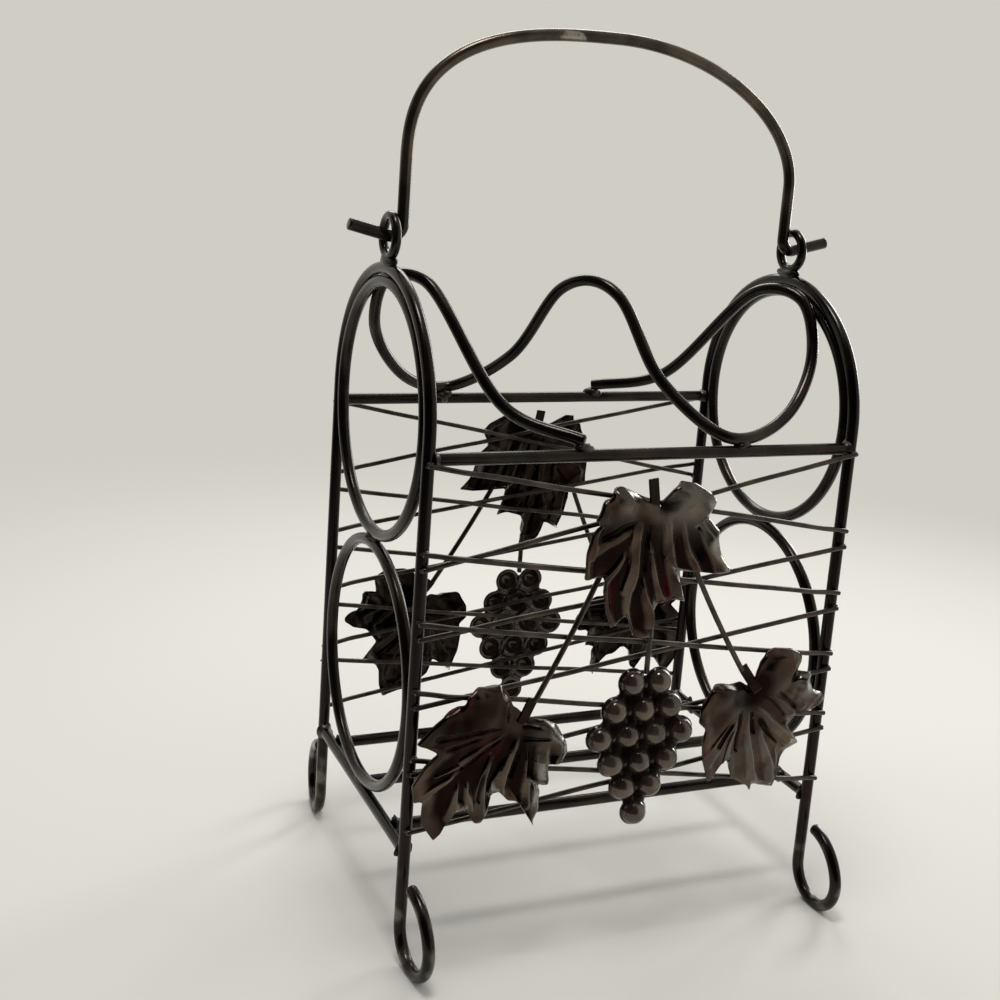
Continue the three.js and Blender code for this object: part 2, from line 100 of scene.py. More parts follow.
ENDS = {"left": Turn.AS_DRAWN, "right": Turn.HALF_ROUND}
FACES = {"front": Turn.AS_DRAWN, "rear": Turn.HALF_ROUND}


# Arrays and surfaces


def unit(vectors: Array) -> Array:
    """Vectors scaled to length one.

    Args:
        vectors: one vector, or a row for each.

    Returns:
        The same directions at length one.
    """
    return vectors / np.linalg.norm(vectors, axis=-1, keepdims=True)


def smooth(low: float, high: float, values: Array) -> Array:
    """Smooth step from 0 at low to 1 at high, 3t^2 - 2t^3 between them.

    Args:
        low: where the step starts.
        high: where it ends.
        values: places to read it at.

    Returns:
        The step at each place.
    """
    share = np.clip((values - low) / (high - low), 0.0, 1.0)
    return share * share * (3.0 - 2.0 * share)


def ripple(places: Array, seed: int, size: float) -> Array:
    """Soft random unevenness: a sum of six plane waves in seeded directions.

    Args:
        places: points, one a row.
        seed: picks the waves.
        size: the typical length of a wave, in the units of the points.

    Returns:
        One value for each point, about -1 to 1.
    """
    random = np.random.default_rng(seed)
    directions = unit(random.normal(size=(6, places.shape[1])))
    numbers = 2.0 * np.pi / (size * random.uniform(0.7, 1.6, 6))
    phases = random.uniform(0.0, 2.0 * np.pi, 6)
    return np.sin(places @ directions.T * numbers + phases).mean(axis=1) * 2.0


def full_turn(count: int) -> Array:
    """Angles of even steps round a full turn, in radians."""
    return np.linspace(0.0, 2.0 * np.pi, count, endpoint=False)


def square_axes(axis: Array) -> tuple[Array, Array, Array]:
    """A direction at length one, and two more that are square to it and to each other.

    Args:
        axis: the direction.

    Returns:
        The three directions.
    """
    first = unit(np.asarray(axis, float))
    helper = UP if abs(first[2]) < 0.9 else ALONG_Y
    second = unit(np.cross(helper, first))
    return first, second, np.cross(first, second)


def node_box(node: str) -> tuple[Array, Array]:
    """Lowest and highest corners of a node of the frame, in millimetres."""
    low, high = (np.array(corner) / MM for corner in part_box(node))
    return low, high


@dataclass
class Surface:
    """A closed mesh as whole arrays.

    points are in millimetres. stock is each point's place on the straight rod or flat sheet that it was bent
    from, which the finishes follow. rub, wine and pool are shares from 0 to 1
    of the pale colour of worn lacquer and of painted highlights, of wine-red for the lacquer's tint and for
    painted shade, and of the dark tone of thick lacquer and of painted shade.
    """

    points: Array
    quads: Array
    triangles: Array
    stock: Array
    rub: Array
    wine: Array
    pool: Array

    @classmethod
    def of(cls, points: Array, quads: Array, triangles: Array | None = None,
           stock: Array | None = None) -> Surface:
        """A surface with none of its pale, wine-red and dark marks on it yet.

        Args:
            points: its points.
            quads: its four-sided faces.
            triangles: its three-sided faces, if it has any.
            stock: places on the stock, where they aren't the points themselves.

        Returns:
            The surface.
        """
        none = np.zeros(len(points))
        corners = np.zeros((0, 3), int) if triangles is None else triangles
        return cls(points, quads, corners, points if stock is None else stock, none, none.copy(), none.copy())

    @classmethod
    def capped(cls, grid: Array, poles: Array, stock: Array | None = None) -> Surface:
        """A grid of points whose columns close on themselves, and whose first and last row close on a pole.

        Args:
            grid: the points in their rows.
            poles: the two poles.
            stock: places on the stock of the grid's points and then the poles, where they aren't the points.

        Returns:
            The closed surface.
        """
        rows, columns = grid.shape[:2]
        count = rows * columns
        triangles = np.concatenate((
            fan(count, 0, columns, True), fan(count + 1, count - columns, columns, False),
        ))
        points = np.concatenate((grid.reshape(-1, 3), poles))
        return cls.of(points, grid_quads(rows, columns), triangles, stock)

    @classmethod
    def sheet(cls, front: Array, back: Array, poles: Array, stock: Array | None = None) -> Surface:
        """A bent sheet: its front and its back run out in rings from a pole each to a common rim.

        Args:
            front: points of the front, ring by ring from the middle.
            back: the points behind them.
            poles: the middle of the front and of the back.
            stock: places on the stock of all these points in order, where they aren't the points.

        Returns:
            The closed surface.
        """
        rings, columns = front.shape[:2]
        size = rings * columns
        quads = grid_quads(rings, columns)
        rim = size - columns + np.arange(columns)
        following = np.roll(rim, -1)
        edge = np.stack((rim, following, following + size, rim + size), axis=-1)
        triangles = np.concatenate((fan(2 * size, 0, columns, True), fan(2 * size + 1, size, columns, False)))
        points = np.concatenate((front.reshape(-1, 3), back.reshape(-1, 3), poles))
        return cls.of(points, np.concatenate((quads, (quads + size)[:, ::-1], edge)), triangles, stock)

    @classmethod
    def joined(cls, parts: list[Surface]) -> Surface:
        """Several surfaces, each turned outwards, as the bodies of one mesh.

        Args:
            parts: the surfaces.

        Returns:
            One surface that holds them all.
        """
        parts = [part.facing_out() for part in parts]
        starts = np.cumsum([0] + [len(part.points) for part in parts[:-1]])
        faces = (
            np.concatenate([getattr(part, key) + start for part, start in zip(parts, starts)])
            for key in ("quads", "triangles")
        )
        points, *values = (
            np.concatenate([getattr(part, key) for part in parts])
            for key in ("points", "stock", "rub", "wine", "pool")
        )
        return cls(points, *faces, *values)

    def placed(self, turn: Turn) -> Surface:
        """This surface at the place of one copy."""
        self.points = turn.place(self.points)
        return self

    def facing_out(self) -> Surface:
        """Turns the faces outwards, so that the sum of a.(b x c) over the triangles is positive.

        Returns:
            This surface.
        """
        corners = np.concatenate((self.quads[:, (0, 1, 2)], self.quads[:, (0, 2, 3)], self.triangles))
        a, b, c = (self.points[corners[:, i]] for i in range(3))
        if np.einsum("ij,ij->", a, np.cross(b, c)) < 0.0:
            self.quads = self.quads[:, ::-1]
            self.triangles = self.triangles[:, ::-1]
        return self

    def to_object(self, name: str) -> bpy.types.Object:
        """A Blender object of this surface, in metres, smooth shaded.

        Args:
            name: the object's name.

        Returns:
            The object, linked to the scene.
        """
        self.facing_out()
        mesh = bpy.data.meshes.new(name)
        corners = np.concatenate((self.quads.ravel(), self.triangles.ravel()))
        sizes = np.concatenate((np.full(len(self.quads), 4), np.full(len(self.triangles), 3)))
        mesh.vertices.add(len(self.points))
        mesh.vertices.foreach_set("co", (self.points * MM).ravel())
        mesh.loops.add(len(corners))
        mesh.loops.foreach_set("vertex_index", corners.astype(np.int32))
        mesh.polygons.add(len(sizes))
        mesh.polygons.foreach_set("loop_start", (np.cumsum(sizes) - sizes).astype(np.int32))
        mesh.polygons.foreach_set("use_smooth", np.ones(len(sizes), bool))
        for key, kind, target in (
            ("stock", "FLOAT_VECTOR", "vector"), ("rub", "FLOAT", "value"),
            ("wine", "FLOAT", "value"), ("pool", "FLOAT", "value"),
        ):
            attribute = mesh.attributes.new(key, kind, "POINT")
            attribute.data.foreach_set(target, np.ascontiguousarray(getattr(self, key), np.float32).ravel())
        mesh.update(calc_edges=True)
        mesh.validate()
        return add_object(name, mesh)


def add_object(name: str, data: bpy.types.ID) -> bpy.types.Object:
    """Adds an object to the scene.

    Args:
        name: its name.
        data: its mesh, light or camera.

    Returns:
        The object.
    """
    obj = bpy.data.objects.new(name, data)
    bpy.context.scene.collection.objects.link(obj)
    return obj


def grid_quads(rows: int, columns: int, closed_rows: bool = False) -> Array:
    """Faces of a grid of points that closes on itself across its columns.

    Args:
        rows: number of rows.
        columns: number of points in a row.
        closed_rows: whether the last row meets the first.

    Returns:
        Four point numbers for each face.
    """
    row = np.arange(rows if closed_rows else rows - 1)[:, None]
    column = np.arange(columns)[None, :]
    next_row = (row + 1) % rows
    next_column = (column + 1) % columns
    quads = np.stack(np.broadcast_arrays(
        row * columns + column, row * columns + next_column,
        next_row * columns + next_column, next_row * columns + column,
    ), axis=-1)
    return quads.reshape(-1, 4)


def fan(pole: int, start: int, columns: int, flip: bool) -> Array:
    """Triangles that close a row of a grid with one pole point.

    Args:
        pole: number of the pole point.
        start: number of the row's first point.
        columns: points in the row.
        flip: whether the triangles turn the other way.

    Returns:
        Three point numbers for each triangle.
    """
    ring = start + np.arange(columns)
    following = np.roll(ring, -1)
    pair = (following, ring) if flip else (ring, following)
    return np.stack((np.full(columns, pole), *pair), axis=-1)


def resampled(path: Array, step: float = PATH_STEP) -> Array:
    """A path with stations a steady step apart along its length.

    Args:
        path: points of the path.
        step: about how far apart the stations are.

    Returns:
        The stations, with both ends kept.
    """
    lengths = np.linalg.norm(np.diff(path, axis=0), axis=1)
    travelled = np.concatenate(([0.0], np.cumsum(lengths)))
    stations = np.linspace(0.0, travelled[-1], max(3, int(round(travelled[-1] / step)) + 1))
    return np.stack([np.interp(stations, travelled, path[:, axis]) for axis in range(3)], axis=1)


def rod_surface(path: Array, radius: float, facing: Array, sides: int = ROD_SIDES,
                edge: float = ROD_EDGE) -> Surface:
    """Round rod along a path, sawn square at both ends with a broken edge.

    Point (i, j) is path[i] + r[i] (cos a[j] n[i] + sin a[j] b[i]). b is the part of the facing direction that
    is square to the path, and n is b x tangent. At an end the radius falls by edge (1 - cos q) while the
    station moves out by edge sin q, as q goes from 0 to a right angle.

    Args:
        path: stations of the middle line.
        radius: the rod's radius.
        facing: a direction that the path never runs along.
        sides: points in a section.
        edge: radius of the broken edge.

    Returns:
        The closed surface.
    """
    tangent = unit(np.gradient(path, axis=0))
    turn = np.radians((90.0, 60.0, 30.0, 0.0))
    inset = edge * (1.0 - np.sin(turn))
    drop = edge * (1.0 - np.cos(turn))
    head = path[0] + inset[:, None] * tangent[0]
    tail = (path[-1] - inset[:, None] * tangent[-1])[::-1]
    line = np.concatenate((head, path[1:-1], tail))
    first, last = (np.repeat(tangent[[i]], len(turn), axis=0) for i in (0, -1))
    direction = np.concatenate((first, tangent[1:-1], last))
    radii = np.concatenate((radius - drop, np.full(len(path) - 2, radius), (radius - drop)[::-1]))[:, None]
    binormal = unit(facing - (direction @ facing)[:, None] * direction)
    normal = np.cross(binormal, direction)
    angle = full_turn(sides)
    across, up = radii * np.cos(angle), radii * np.sin(angle)
    grid = line[:, None] + across[..., None] * normal[:, None] + up[..., None] * binormal[:, None]
    travelled = np.concatenate(([0.0], np.cumsum(np.linalg.norm(np.diff(line, axis=0), axis=1))))
    stock = np.stack(np.broadcast_arrays(across, up, travelled[:, None]), axis=-1).reshape(-1, 3)
    pole_stock = travelled[[0, -1]][:, None] * UP
    return Surface.capped(grid, line[[0, -1]], np.concatenate((stock, pole_stock)))


def hoop_surface(centre: Array, radius: float, rod: float, seed: int, unevenness: float) -> Surface:
    """Rod closed to a hoop in the plane x = constant, a little out of round.

    At angle u round the hoop the middle line is centre + (R - e) (cos u along Y + sin u along Z). e is
    unevenness (0.5 + 0.3 cos(2u + p) + 0.2 cos(3u + q)), where p and q come from the seed.

    Args:
        centre: middle of the hoop.
        radius: from the middle to the rod's middle line.
        rod: radius of the rod.
        seed: picks the unevenness.
        unevenness: the most that the hoop is out of round.

    Returns:
        The closed surface.
    """
    rows = max(HOOP_STATIONS, int(2.0 * np.pi * radius / PATH_STEP))
    u, v = full_turn(rows), full_turn(ROD_SIDES)
    phases = np.random.default_rng(seed).uniform(0.0, 2.0 * np.pi, 2)
    two_waves, three_waves = np.cos(2.0 * u + phases[0]), np.cos(3.0 * u + phases[1])
    reach = radius - unevenness * (0.5 + 0.3 * two_waves + 0.2 * three_waves)
    outward = np.stack((np.zeros(rows), np.cos(u), np.sin(u)), axis=1)
    out, aside = rod * np.cos(v), rod * np.sin(v)
    line = centre + reach[:, None] * outward
    points = line[:, None] + out[:, None] * outward[:, None] + aside[:, None] * ALONG_X
    stock = np.stack(np.broadcast_arrays(out, aside, (radius * u)[:, None]), axis=-1)
    quads = grid_quads(rows, ROD_SIDES, closed_rows=True)
    return Surface.of(points.reshape(-1, 3), quads, stock=stock.reshape(-1, 3))


def bead_surface(centre: Array | Triple, half_sizes: Array | Triple, seed: int, along: Array = ALONG_X, *,
                 lump: float) -> Surface:
    """Lumpy weld bead: an ellipsoid whose radius is multiplied by 1 + lump times a ripple.

    Args:
        centre: middle of the bead.
        half_sizes: half lengths along the bead, across it, and up from both.
        seed: picks the lumps.
        along: direction of the bead.
        lump: how uneven it is.

    Returns:
        The closed surface.
    """
    rows, columns = 11, 20
    lump_size = 1.3
    u = np.linspace(0.0, np.pi, rows + 2)[1:-1, None]
    v = full_turn(columns)
    grid = np.broadcast_arrays(np.cos(u), np.sin(u) * np.cos(v), np.sin(u) * np.sin(v))
    ball = np.concatenate((np.stack(grid, axis=-1).reshape(-1, 3), (ALONG_X, -ALONG_X)))
    ball = ball * (1.0 + lump * ripple(ball, seed, lump_size))[:, None]
    points = centre + ball * half_sizes @ np.stack(square_axes(along))
    return Surface.capped(points[:-2].reshape(rows, columns, 3), points[-2:])


def fillet_surface(foot: Array | Triple, axis: Array, rod: float, size: Pair, seed: int) -> Surface:
    """Weld run round the end of a rod: a skirt that is widest at the foot and runs out along the rod.

    At share t of its length the skirt's radius is rod - sink + (sink + f) (1 - t)^2, where f is
    flare (1 + unevenness ripple), so that it runs out under the rod's surface. Its section is closed inside
    the rod.

    Args:
        foot: where the rod meets the piece that it is welded to.
        axis: direction of the rod away from the foot.
        rod: the rod's radius.
        size: flare and length of the skirt.
        seed: picks the lumps.

    Returns:
        The closed surface.
    """
    rows, stations = 36, 9
    sink, unevenness, lump_size = 0.25, 0.5, 1.2
    hidden = 0.6 * rod
    flare, length = size
    away, first, second = square_axes(axis)
    u = full_turn(rows)[:, None]
    t = np.linspace(0.0, 1.0, stations)
    around = np.cos(u) * first + np.sin(u) * second
    lumps = 1.0 + unevenness * ripple(around, seed, lump_size)[:, None]
    inside = np.full((rows, 1), hidden)
    out = rod - sink + (sink + flare * lumps) * (1.0 - t) ** 2
    out = np.concatenate((inside, out, inside), axis=1)[..., None]
    rise = np.concatenate(([0.0], length * t, [length]))[:, None]
    points = foot + out * around[:, None] + rise * away
    return Surface.of(points.reshape(-1, 3), grid_quads(rows, out.shape[1], closed_rows=True))


# Finishes


def linear(hex_colour: str) -> Colour:
    """Linear colour of an sRGB hex value.

    Args:
        hex_colour: six hex digits.

    Returns:
        Linear red, green and blue, and alpha 1.
    """
    parts = [int(hex_colour[i:i + 2], 16) / 255.0 for i in (0, 2, 4)]
    values = [part / 12.92 if part <= 0.04045 else ((part + 0.055) / 1.055) ** 2.4 for part in parts]
    return (*values, 1.0)


def empty_tree(owner: bpy.types.Material | bpy.types.World) -> bpy.types.NodeTree:
    """Empties the node tree of a material or world.

    Args:
        owner: the material or world.

    Returns:
        Its node tree, with no nodes in it.
    """
    owner.use_nodes = True
    owner.node_tree.nodes.clear()
    return owner.node_tree


def add_node(tree: bpy.types.NodeTree, kind: str, inputs: dict | None = None, output: str | int = 0,
             **settings) -> bpy.types.NodeSocket | None:
    """Adds a node with its settings and links.

    Args:
        tree: the node tree.
        kind: Blender's name of the node.
        inputs: socket to a value, or to the output that it is linked from.
        output: the output that is wanted.
        settings: properties of the node.

    Returns:
        That output, if the node has any.
    """
    node = tree.nodes.new(kind)
    for key, value in settings.items():
        setattr(node, key, value)
    for key, value in (inputs or {}).items():
        if isinstance(value, bpy.types.NodeSocket):
            tree.links.new(value, node.inputs[key])
        else:
            node.inputs[key].default_value = value
    return node.outputs[output] if node.outputs else None


@dataclass(frozen=True)
class IronFinish:
    """Dark lacquer over drawn or pressed iron.

    The lacquer is thin and hand brushed. It looks near black with brown and grey-green clouds, keeps sharp
    highlights, shows the draw lines of the rod, and is rubbed to bare grey on some high spots. The same pale
    grey also serves as painted highlight, and the dark tone and the wine-red serve as painted shade, where a
    piece's marks ask for them. Sizes are real millimetres, but the draw lines and the grain are drawn coarser
    than real ones, to show. A patch begins at the lower level of its noise and is full at the upper one.
    """

    name: str
    dark: str = "181310"
    warm: str = "352a21"
    cool: str = "302f27"
    wine: str = "2a0b0d"
    # Pale colour of worn lacquer and of painted highlights, and dark tone of thick lacquer and of painted
    # shade.
    rub: str = "a29b91"
    thick: str = "100c0a"
    metallic: float = 0.78
    rough_low: float = 0.16
    rough_high: float = 0.34
    coat: float = 0.14
    coat_rough: float = 0.12
    cloud_mm: float = 26.0
    tint_share: float = 1.7          # size of the grey-green clouds in brown ones
    draw_line_mm: float = 0.7
    draw_run_mm: float = 30.0
    grain_mm: float = 1.6
    wear_and_highlight_mm: float = 1.6
    cloud_patch: Pair = (0.38, 0.68)
    tint_patch: Pair = (0.5, 0.72)
    wine_patch: Pair = (0.25, 0.6)
    wear_and_highlight_patch: Pair = (0.22, 0.5)
    cloud_gloss: float = 0.6         # what the clouds and the draw lines each add to the change of gloss
    line_gloss: float = 0.4
    gloss_span: Pair = (0.3, 0.7)
    line_relief: float = 0.5         # height of the draw lines, where the grain's is 1
    bump_share: float = 0.6
    bump_mm: float = 0.05

    def material(self) -> bpy.types.Material:
        """The material, made once for each finish.

        Returns:
            The Blender material.
        """
        known = bpy.data.materials.get(self.name)
        if known:
            return known
        material = bpy.data.materials.new(self.name)
        tree = empty_tree(material)
        stock, rub, wine, pool = (
            add_node(tree, "ShaderNodeAttribute", output=output, attribute_name=key)
            for key, output in (("stock", "Vector"), ("rub", "Fac"), ("wine", "Fac"), ("pool", "Fac"))
        )

        # Each noise has features of a real size along the three directions of the stock.
        noises = []
        for sizes, detail, offset in (
            ((self.cloud_mm,) * 3, 4.0, 0.0),
            ((self.cloud_mm * self.tint_share,) * 3, 3.0, 37.0),
            ((self.draw_line_mm, self.draw_line_mm, self.draw_run_mm), 2.0, 0.0),
            ((self.grain_mm,) * 3, 5.0, 0.0),
            ((self.wear_and_highlight_mm,) * 3, 2.0, 11.0),
        ):
            scaled = add_node(tree, "ShaderNodeMapping", {
                "Vector": stock, "Location": (offset,) * 3, "Scale": tuple(1.0 / size for size in sizes),
            })
            noises.append(add_node(tree, "ShaderNodeTexNoise", {
                "Vector": scaled, "Scale": 1.0, "Detail": detail,
            }))
        clouds, tints, lines, grain, wear_and_highlight_noise = noises

        cloud_share, tint_share, wine_patches, wear_and_highlight_patches = (
            add_node(tree, "ShaderNodeMapRange", {"Value": noise, "From Min": low, "From Max": high},
                     interpolation_type="SMOOTHSTEP")
            for noise, (low, high) in (
                (clouds, self.cloud_patch), (tints, self.tint_patch),
                (tints, self.wine_patch), (wear_and_highlight_noise, self.wear_and_highlight_patch),
            )
        )
        wine_share, wear_and_highlight_share = (
            add_node(tree, "ShaderNodeMath", {0: share, 1: patches}, operation="MULTIPLY")
            for share, patches in ((wine, wine_patches), (rub, wear_and_highlight_patches))
        )
        # The marks mix in the pale colour as worn lacquer and painted highlight, the dark tone as thick
        # lacquer and painted shade, and wine-red as the lacquer's tint and painted shade.
        colour = linear(self.dark)
        for share, tint in (
            (cloud_share, self.warm), (tint_share, self.cool), (pool, self.thick),
            (wine_share, self.wine), (wear_and_highlight_share, self.rub),
        ):
            colour = add_node(tree, "ShaderNodeMix", {
                0: share, 6: colour, 7: linear(tint),
            }, 2, data_type="RGBA")

        # The gloss varies with the clouds and the draw lines, and the relief is draw lines and grain.
        part_lines = add_node(tree, "ShaderNodeMath", {0: lines, 1: self.line_gloss}, operation="MULTIPLY")
        patchy, height = (
            add_node(tree, "ShaderNodeMath", {0: first, 1: share, 2: second}, operation="MULTIPLY_ADD")
            for first, share, second in (
                (clouds, self.cloud_gloss, part_lines), (lines, self.line_relief, grain),
            )
        )
        rough = add_node(tree, "ShaderNodeMapRange", {
            "Value": patchy, "From Min": self.gloss_span[0], "From Max": self.gloss_span[1],
            "To Min": self.rough_low, "To Max": self.rough_high,
        })
        bump = add_node(tree, "ShaderNodeBump", {
            "Height": height, "Strength": self.bump_share, "Distance": self.bump_mm * MM,
        })
        shader = add_node(tree, "ShaderNodeBsdfPrincipled", {
            "Base Color": colour, "Metallic": self.metallic, "Roughness": rough, "Normal": bump,
            "Coat Weight": self.coat, "Coat Roughness": self.coat_rough,
        })
        add_node(tree, "ShaderNodeOutputMaterial", {"Surface": shader})
        return material


# Drawn rod under dark lacquer: near black, with a narrow bright line along each rod.
ROD_FINISH = IronFinish("lacquered_drawn_iron")
# The same rod, handled: browner and greyer, with the bare iron showing in one place.
HANDLE_FINISH = IronFinish("worn_lacquered_iron", dark="342d26", warm="645648", cool="5c5a52", rub="a2998f")
# Thin drawn wire: brown, with a softer gleam than the rods.
WIRE_FINISH = IronFinish(
    "lacquered_iron_wire", dark="251f1a", warm="54473b", cool="4a4840", rough_low=0.26, rough_high=0.44,
    coat=0.3, coat_rough=0.18, cloud_mm=14.0, draw_line_mm=0.5,
)
# Weld metal under lacquer: dull, dark and rough.
WELD_FINISH = IronFinish(
    "lacquered_weld_bead", dark="1c1917", warm="3c332c", cool="454540", rough_low=0.36, rough_high=0.58,
    coat=0.3, coat_rough=0.2, cloud_mm=6.0, draw_line_mm=1.2, draw_run_mm=1.2, grain_mm=0.8, bump_mm=0.16,
)
# Pressed sheet: brown-grey on its folds, with painted shade in black and wine-red in its valleys and on its
# left edges, partly lacquer that ran there, and pale painted highlights on its rims and lit folds.
LEAF_FINISH = IronFinish(
    "lacquered_pressed_sheet", dark="3a2d26", warm="5f4f43", cool="57524a", wine="3a0a10", rub="a2a39d",
    thick="120806", metallic=0.99, rough_low=0.15, rough_high=0.32, coat=0.02, coat_rough=0.14, cloud_mm=18.0,
    draw_line_mm=2.2, draw_run_mm=2.2, grain_mm=1.1, wear_and_highlight_mm=7.0, bump_mm=0.07,
)
# Pressed domes: smooth and glossy, so that each mirrors the pale floor and the room's dark side.
GRAPE_FINISH = IronFinish(
    "lacquered_pressed_grapes", dark="463c35", warm="6a5d51", cool="605d53", wine="46151a", rub="989084",
    metallic=0.64, rough_low=0.12, rough_high=0.26, coat=0.4, coat_rough=0.05, cloud_mm=9.0,
    draw_line_mm=2.0, draw_run_mm=2.0, grain_mm=1.4, bump_mm=0.04,
)


def add_piece(surface: Surface, name: str, finish: IronFinish, replaced: str | None = None,
              body: str = "rack") -> bpy.types.Object:
    """Makes a finished piece that moves with a body of the frame.

    Args:
        surface: the piece's surface.
        name: its name.
        finish: its finish.
        replaced: the node of the frame that it stands for.
        body: the body that it rides on.

    Returns:
        The object.
    """
    obj = surface.to_object(name)
    obj.data.materials.append(finish.material())
    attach(obj, body)
    if replaced:
        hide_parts(replaced)
    LOG.info("%s: %d points on %s", name, len(surface.points), body)
    return obj


# Sub-assemblies


@dataclass(frozen=True)
class Layout:
    """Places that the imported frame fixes, in millimetres."""

    end_x: float
    leg_y: float
    upper_ring: float
    lower_ring: float
    ring_radius: float
    cross_bar: float
    top_rail: float
    bottom_rail: float
    bottom_spread: float
    pivot: float
    eyelet_radius: float
    rail_reach: float

    @classmethod
    def from_frame(cls) -> Layout:
        """Reads the places from the boxes of the frame's nodes.

        Returns:
            The layout.
        """
        def middle_and_half(node: str) -> tuple[Array, Array]:
            """Middle and half size of a node's box."""
            low, high = node_box(node)
            return (low + high) / 2.0, (high - low) / 2.0

        upper, upper_half = middle_and_half("left_upper_bottle_ring")
        lower, _ = middle_and_half("left_lower_bottle_ring")
        eyelet, eyelet_half = middle_and_half("left_handle_eyelet")
        bar, _ = middle_and_half("left_cross_bar")
        top, top_half = middle_and_half("rear_top_rail")
        bottom, _ = middle_and_half("rear_bottom_rail")
        return cls(
            end_x=-upper[0], leg_y=top[1], upper_ring=upper[2], lower_ring=lower[2],
            ring_radius=upper_half[1] - upper_half[0], cross_bar=bar[2], top_rail=top[2],
            bottom_rail=bottom[2], bottom_spread=bottom[1], pivot=eyelet[2],
            eyelet_radius=eyelet_half[1] - eyelet_half[0], rail_reach=top_half[0],
        )

    @property
    def arch_top(self) -> float:
        """Height of the arch's middle line, halfway between the ring under it and the eyelet on it.

        Returns:
            The height.
        """
        ring_top = self.upper_ring + self.ring_radius
        eyelet_bottom = self.pivot - self.eyelet_radius
        return (ring_top + ROD_RADIUS + eyelet_bottom - EYELET_RADIUS) / 2.0


@dataclass(frozen=True)
class EndFrame:
    """One rod bent into two hooked feet, two legs and an arch."""

    layout: Layout
    foot_radius: float = 14.3
    tip_radius: float = 22.0
    bend_end: float = 15.0           # degrees at which a foot's low bend becomes its slacker tip
    tip_end: float = 85.0
    turns: tuple[Pair, ...] = ((5.0, 8.0), (0.0, 0.0))  # degrees inwards, of each end's two feet
    foot_flat: float = 0.8
    foot_rod: float = 2.5
    bend_stations: int = 60
    tip_stations: int = 30
    arch_stations: int = 90
    shoulder: float = 30.0           # from the arch's top down to where the legs' painted shade begins
    ankle: Pair = (20.0, 45.0)       # heights between which a foot becomes a leg
    thick: float = 0.35              # share of the dark tone all over, and how much more the legs get as painted shade, so that the arch's top looks lighter as in a sheen
    leg_thick: float = 0.45
    red: float = 0.05
    leg_red: float = 0.3
    worn: float = 0.35
    worn_foot: Pair = (45.0, 25.0)   # heights between which the wear of a foot sets in
    worn_patch: float = 9.0          # size of the worn patches, the levels of their ripple, and its seed
    patch_span: Pair = (0.1, 0.9)
    patch_seed: int = 8

    def foot(self, sign: float, turn: float) -> Array:
        """Middle line of a foot from the leg to its tip: a low bend, then a slacker one back to the leg.

        Args:
            sign: -1 for the front foot and 1 for the rear one.
            turn: degrees that it is turned inwards.

        Returns:
            Points in the frame's own plane, x = 0.
        """
        low = np.radians(np.linspace(-180.0, self.bend_end, self.bend_stations))
        tip = np.radians(np.linspace(self.bend_end, self.tip_end, self.tip_stations)[1:])
        shift = self.foot_radius - self.tip_radius
        rise = self.foot_radius + self.foot_rod - self.foot_flat
        change = math.radians(self.bend_end)
        out = np.concatenate((
            self.foot_radius * (1.0 + np.cos(low)),
            self.foot_radius + shift * math.cos(change) + self.tip_radius * np.cos(tip),
        ))
        up = np.concatenate((
            rise + self.foot_radius * np.sin(low),
            rise + shift * math.sin(change) + self.tip_radius * np.sin(tip),
        ))
        inward, outward = math.sin(math.radians(turn)), math.cos(math.radians(turn))
        return np.stack((out * inward, sign * (self.layout.leg_y + out * outward), up), axis=1)

    def surface(self, near_turn: float, far_turn: float) -> Surface:
        """An end frame where the left one stands, with worn flats under the feet.

        Args:
            near_turn: degrees that the foot at -Y is turned inwards.
            far_turn: the same for the foot at +Y.

        Returns:
            The closed surface.
        """
        place = self.layout
        angle = np.radians(np.linspace(180.0, 0.0, self.arch_stations))
        arch = np.stack((
            np.zeros_like(angle), place.leg_y * np.cos(angle),
            place.arch_top + place.leg_y * (np.sin(angle) - 1.0),
        ), axis=1)
        path = resampled(np.concatenate((
            self.foot(-1.0, near_turn)[::-1], arch, self.foot(1.0, far_turn),
        )))
        path = path - place.end_x * ALONG_X
        surface = rod_surface(path, ROD_RADIUS, ALONG_X)
        surface.points[:, 2] = np.maximum(surface.points[:, 2], 0.0)
        height = surface.points[:, 2]
        # The legs are darkened as painted shade, which leaves the arch's top lighter as in a sheen; the red
        # on them is the lacquer's tint.
        on_leg = smooth(place.arch_top - self.shoulder, place.top_rail, height) * smooth(*self.ankle, height)
        surface.pool = self.thick + self.leg_thick * on_leg
        surface.wine = self.red + self.leg_red * smooth(place.top_rail, place.lower_ring, height) * on_leg
        patches = smooth(*self.patch_span, ripple(surface.points, self.patch_seed, self.worn_patch))
        surface.rub = self.worn * smooth(*self.worn_foot, height) * patches
        return surface

    def build(self) -> None:
        """Makes both end frames."""
        for (end, turn), turns in zip(ENDS.items(), self.turns):
            node = f"{end}_end_frame"
            add_piece(self.surface(*turns).placed(turn), f"{node}_rod", ROD_FINISH, node)


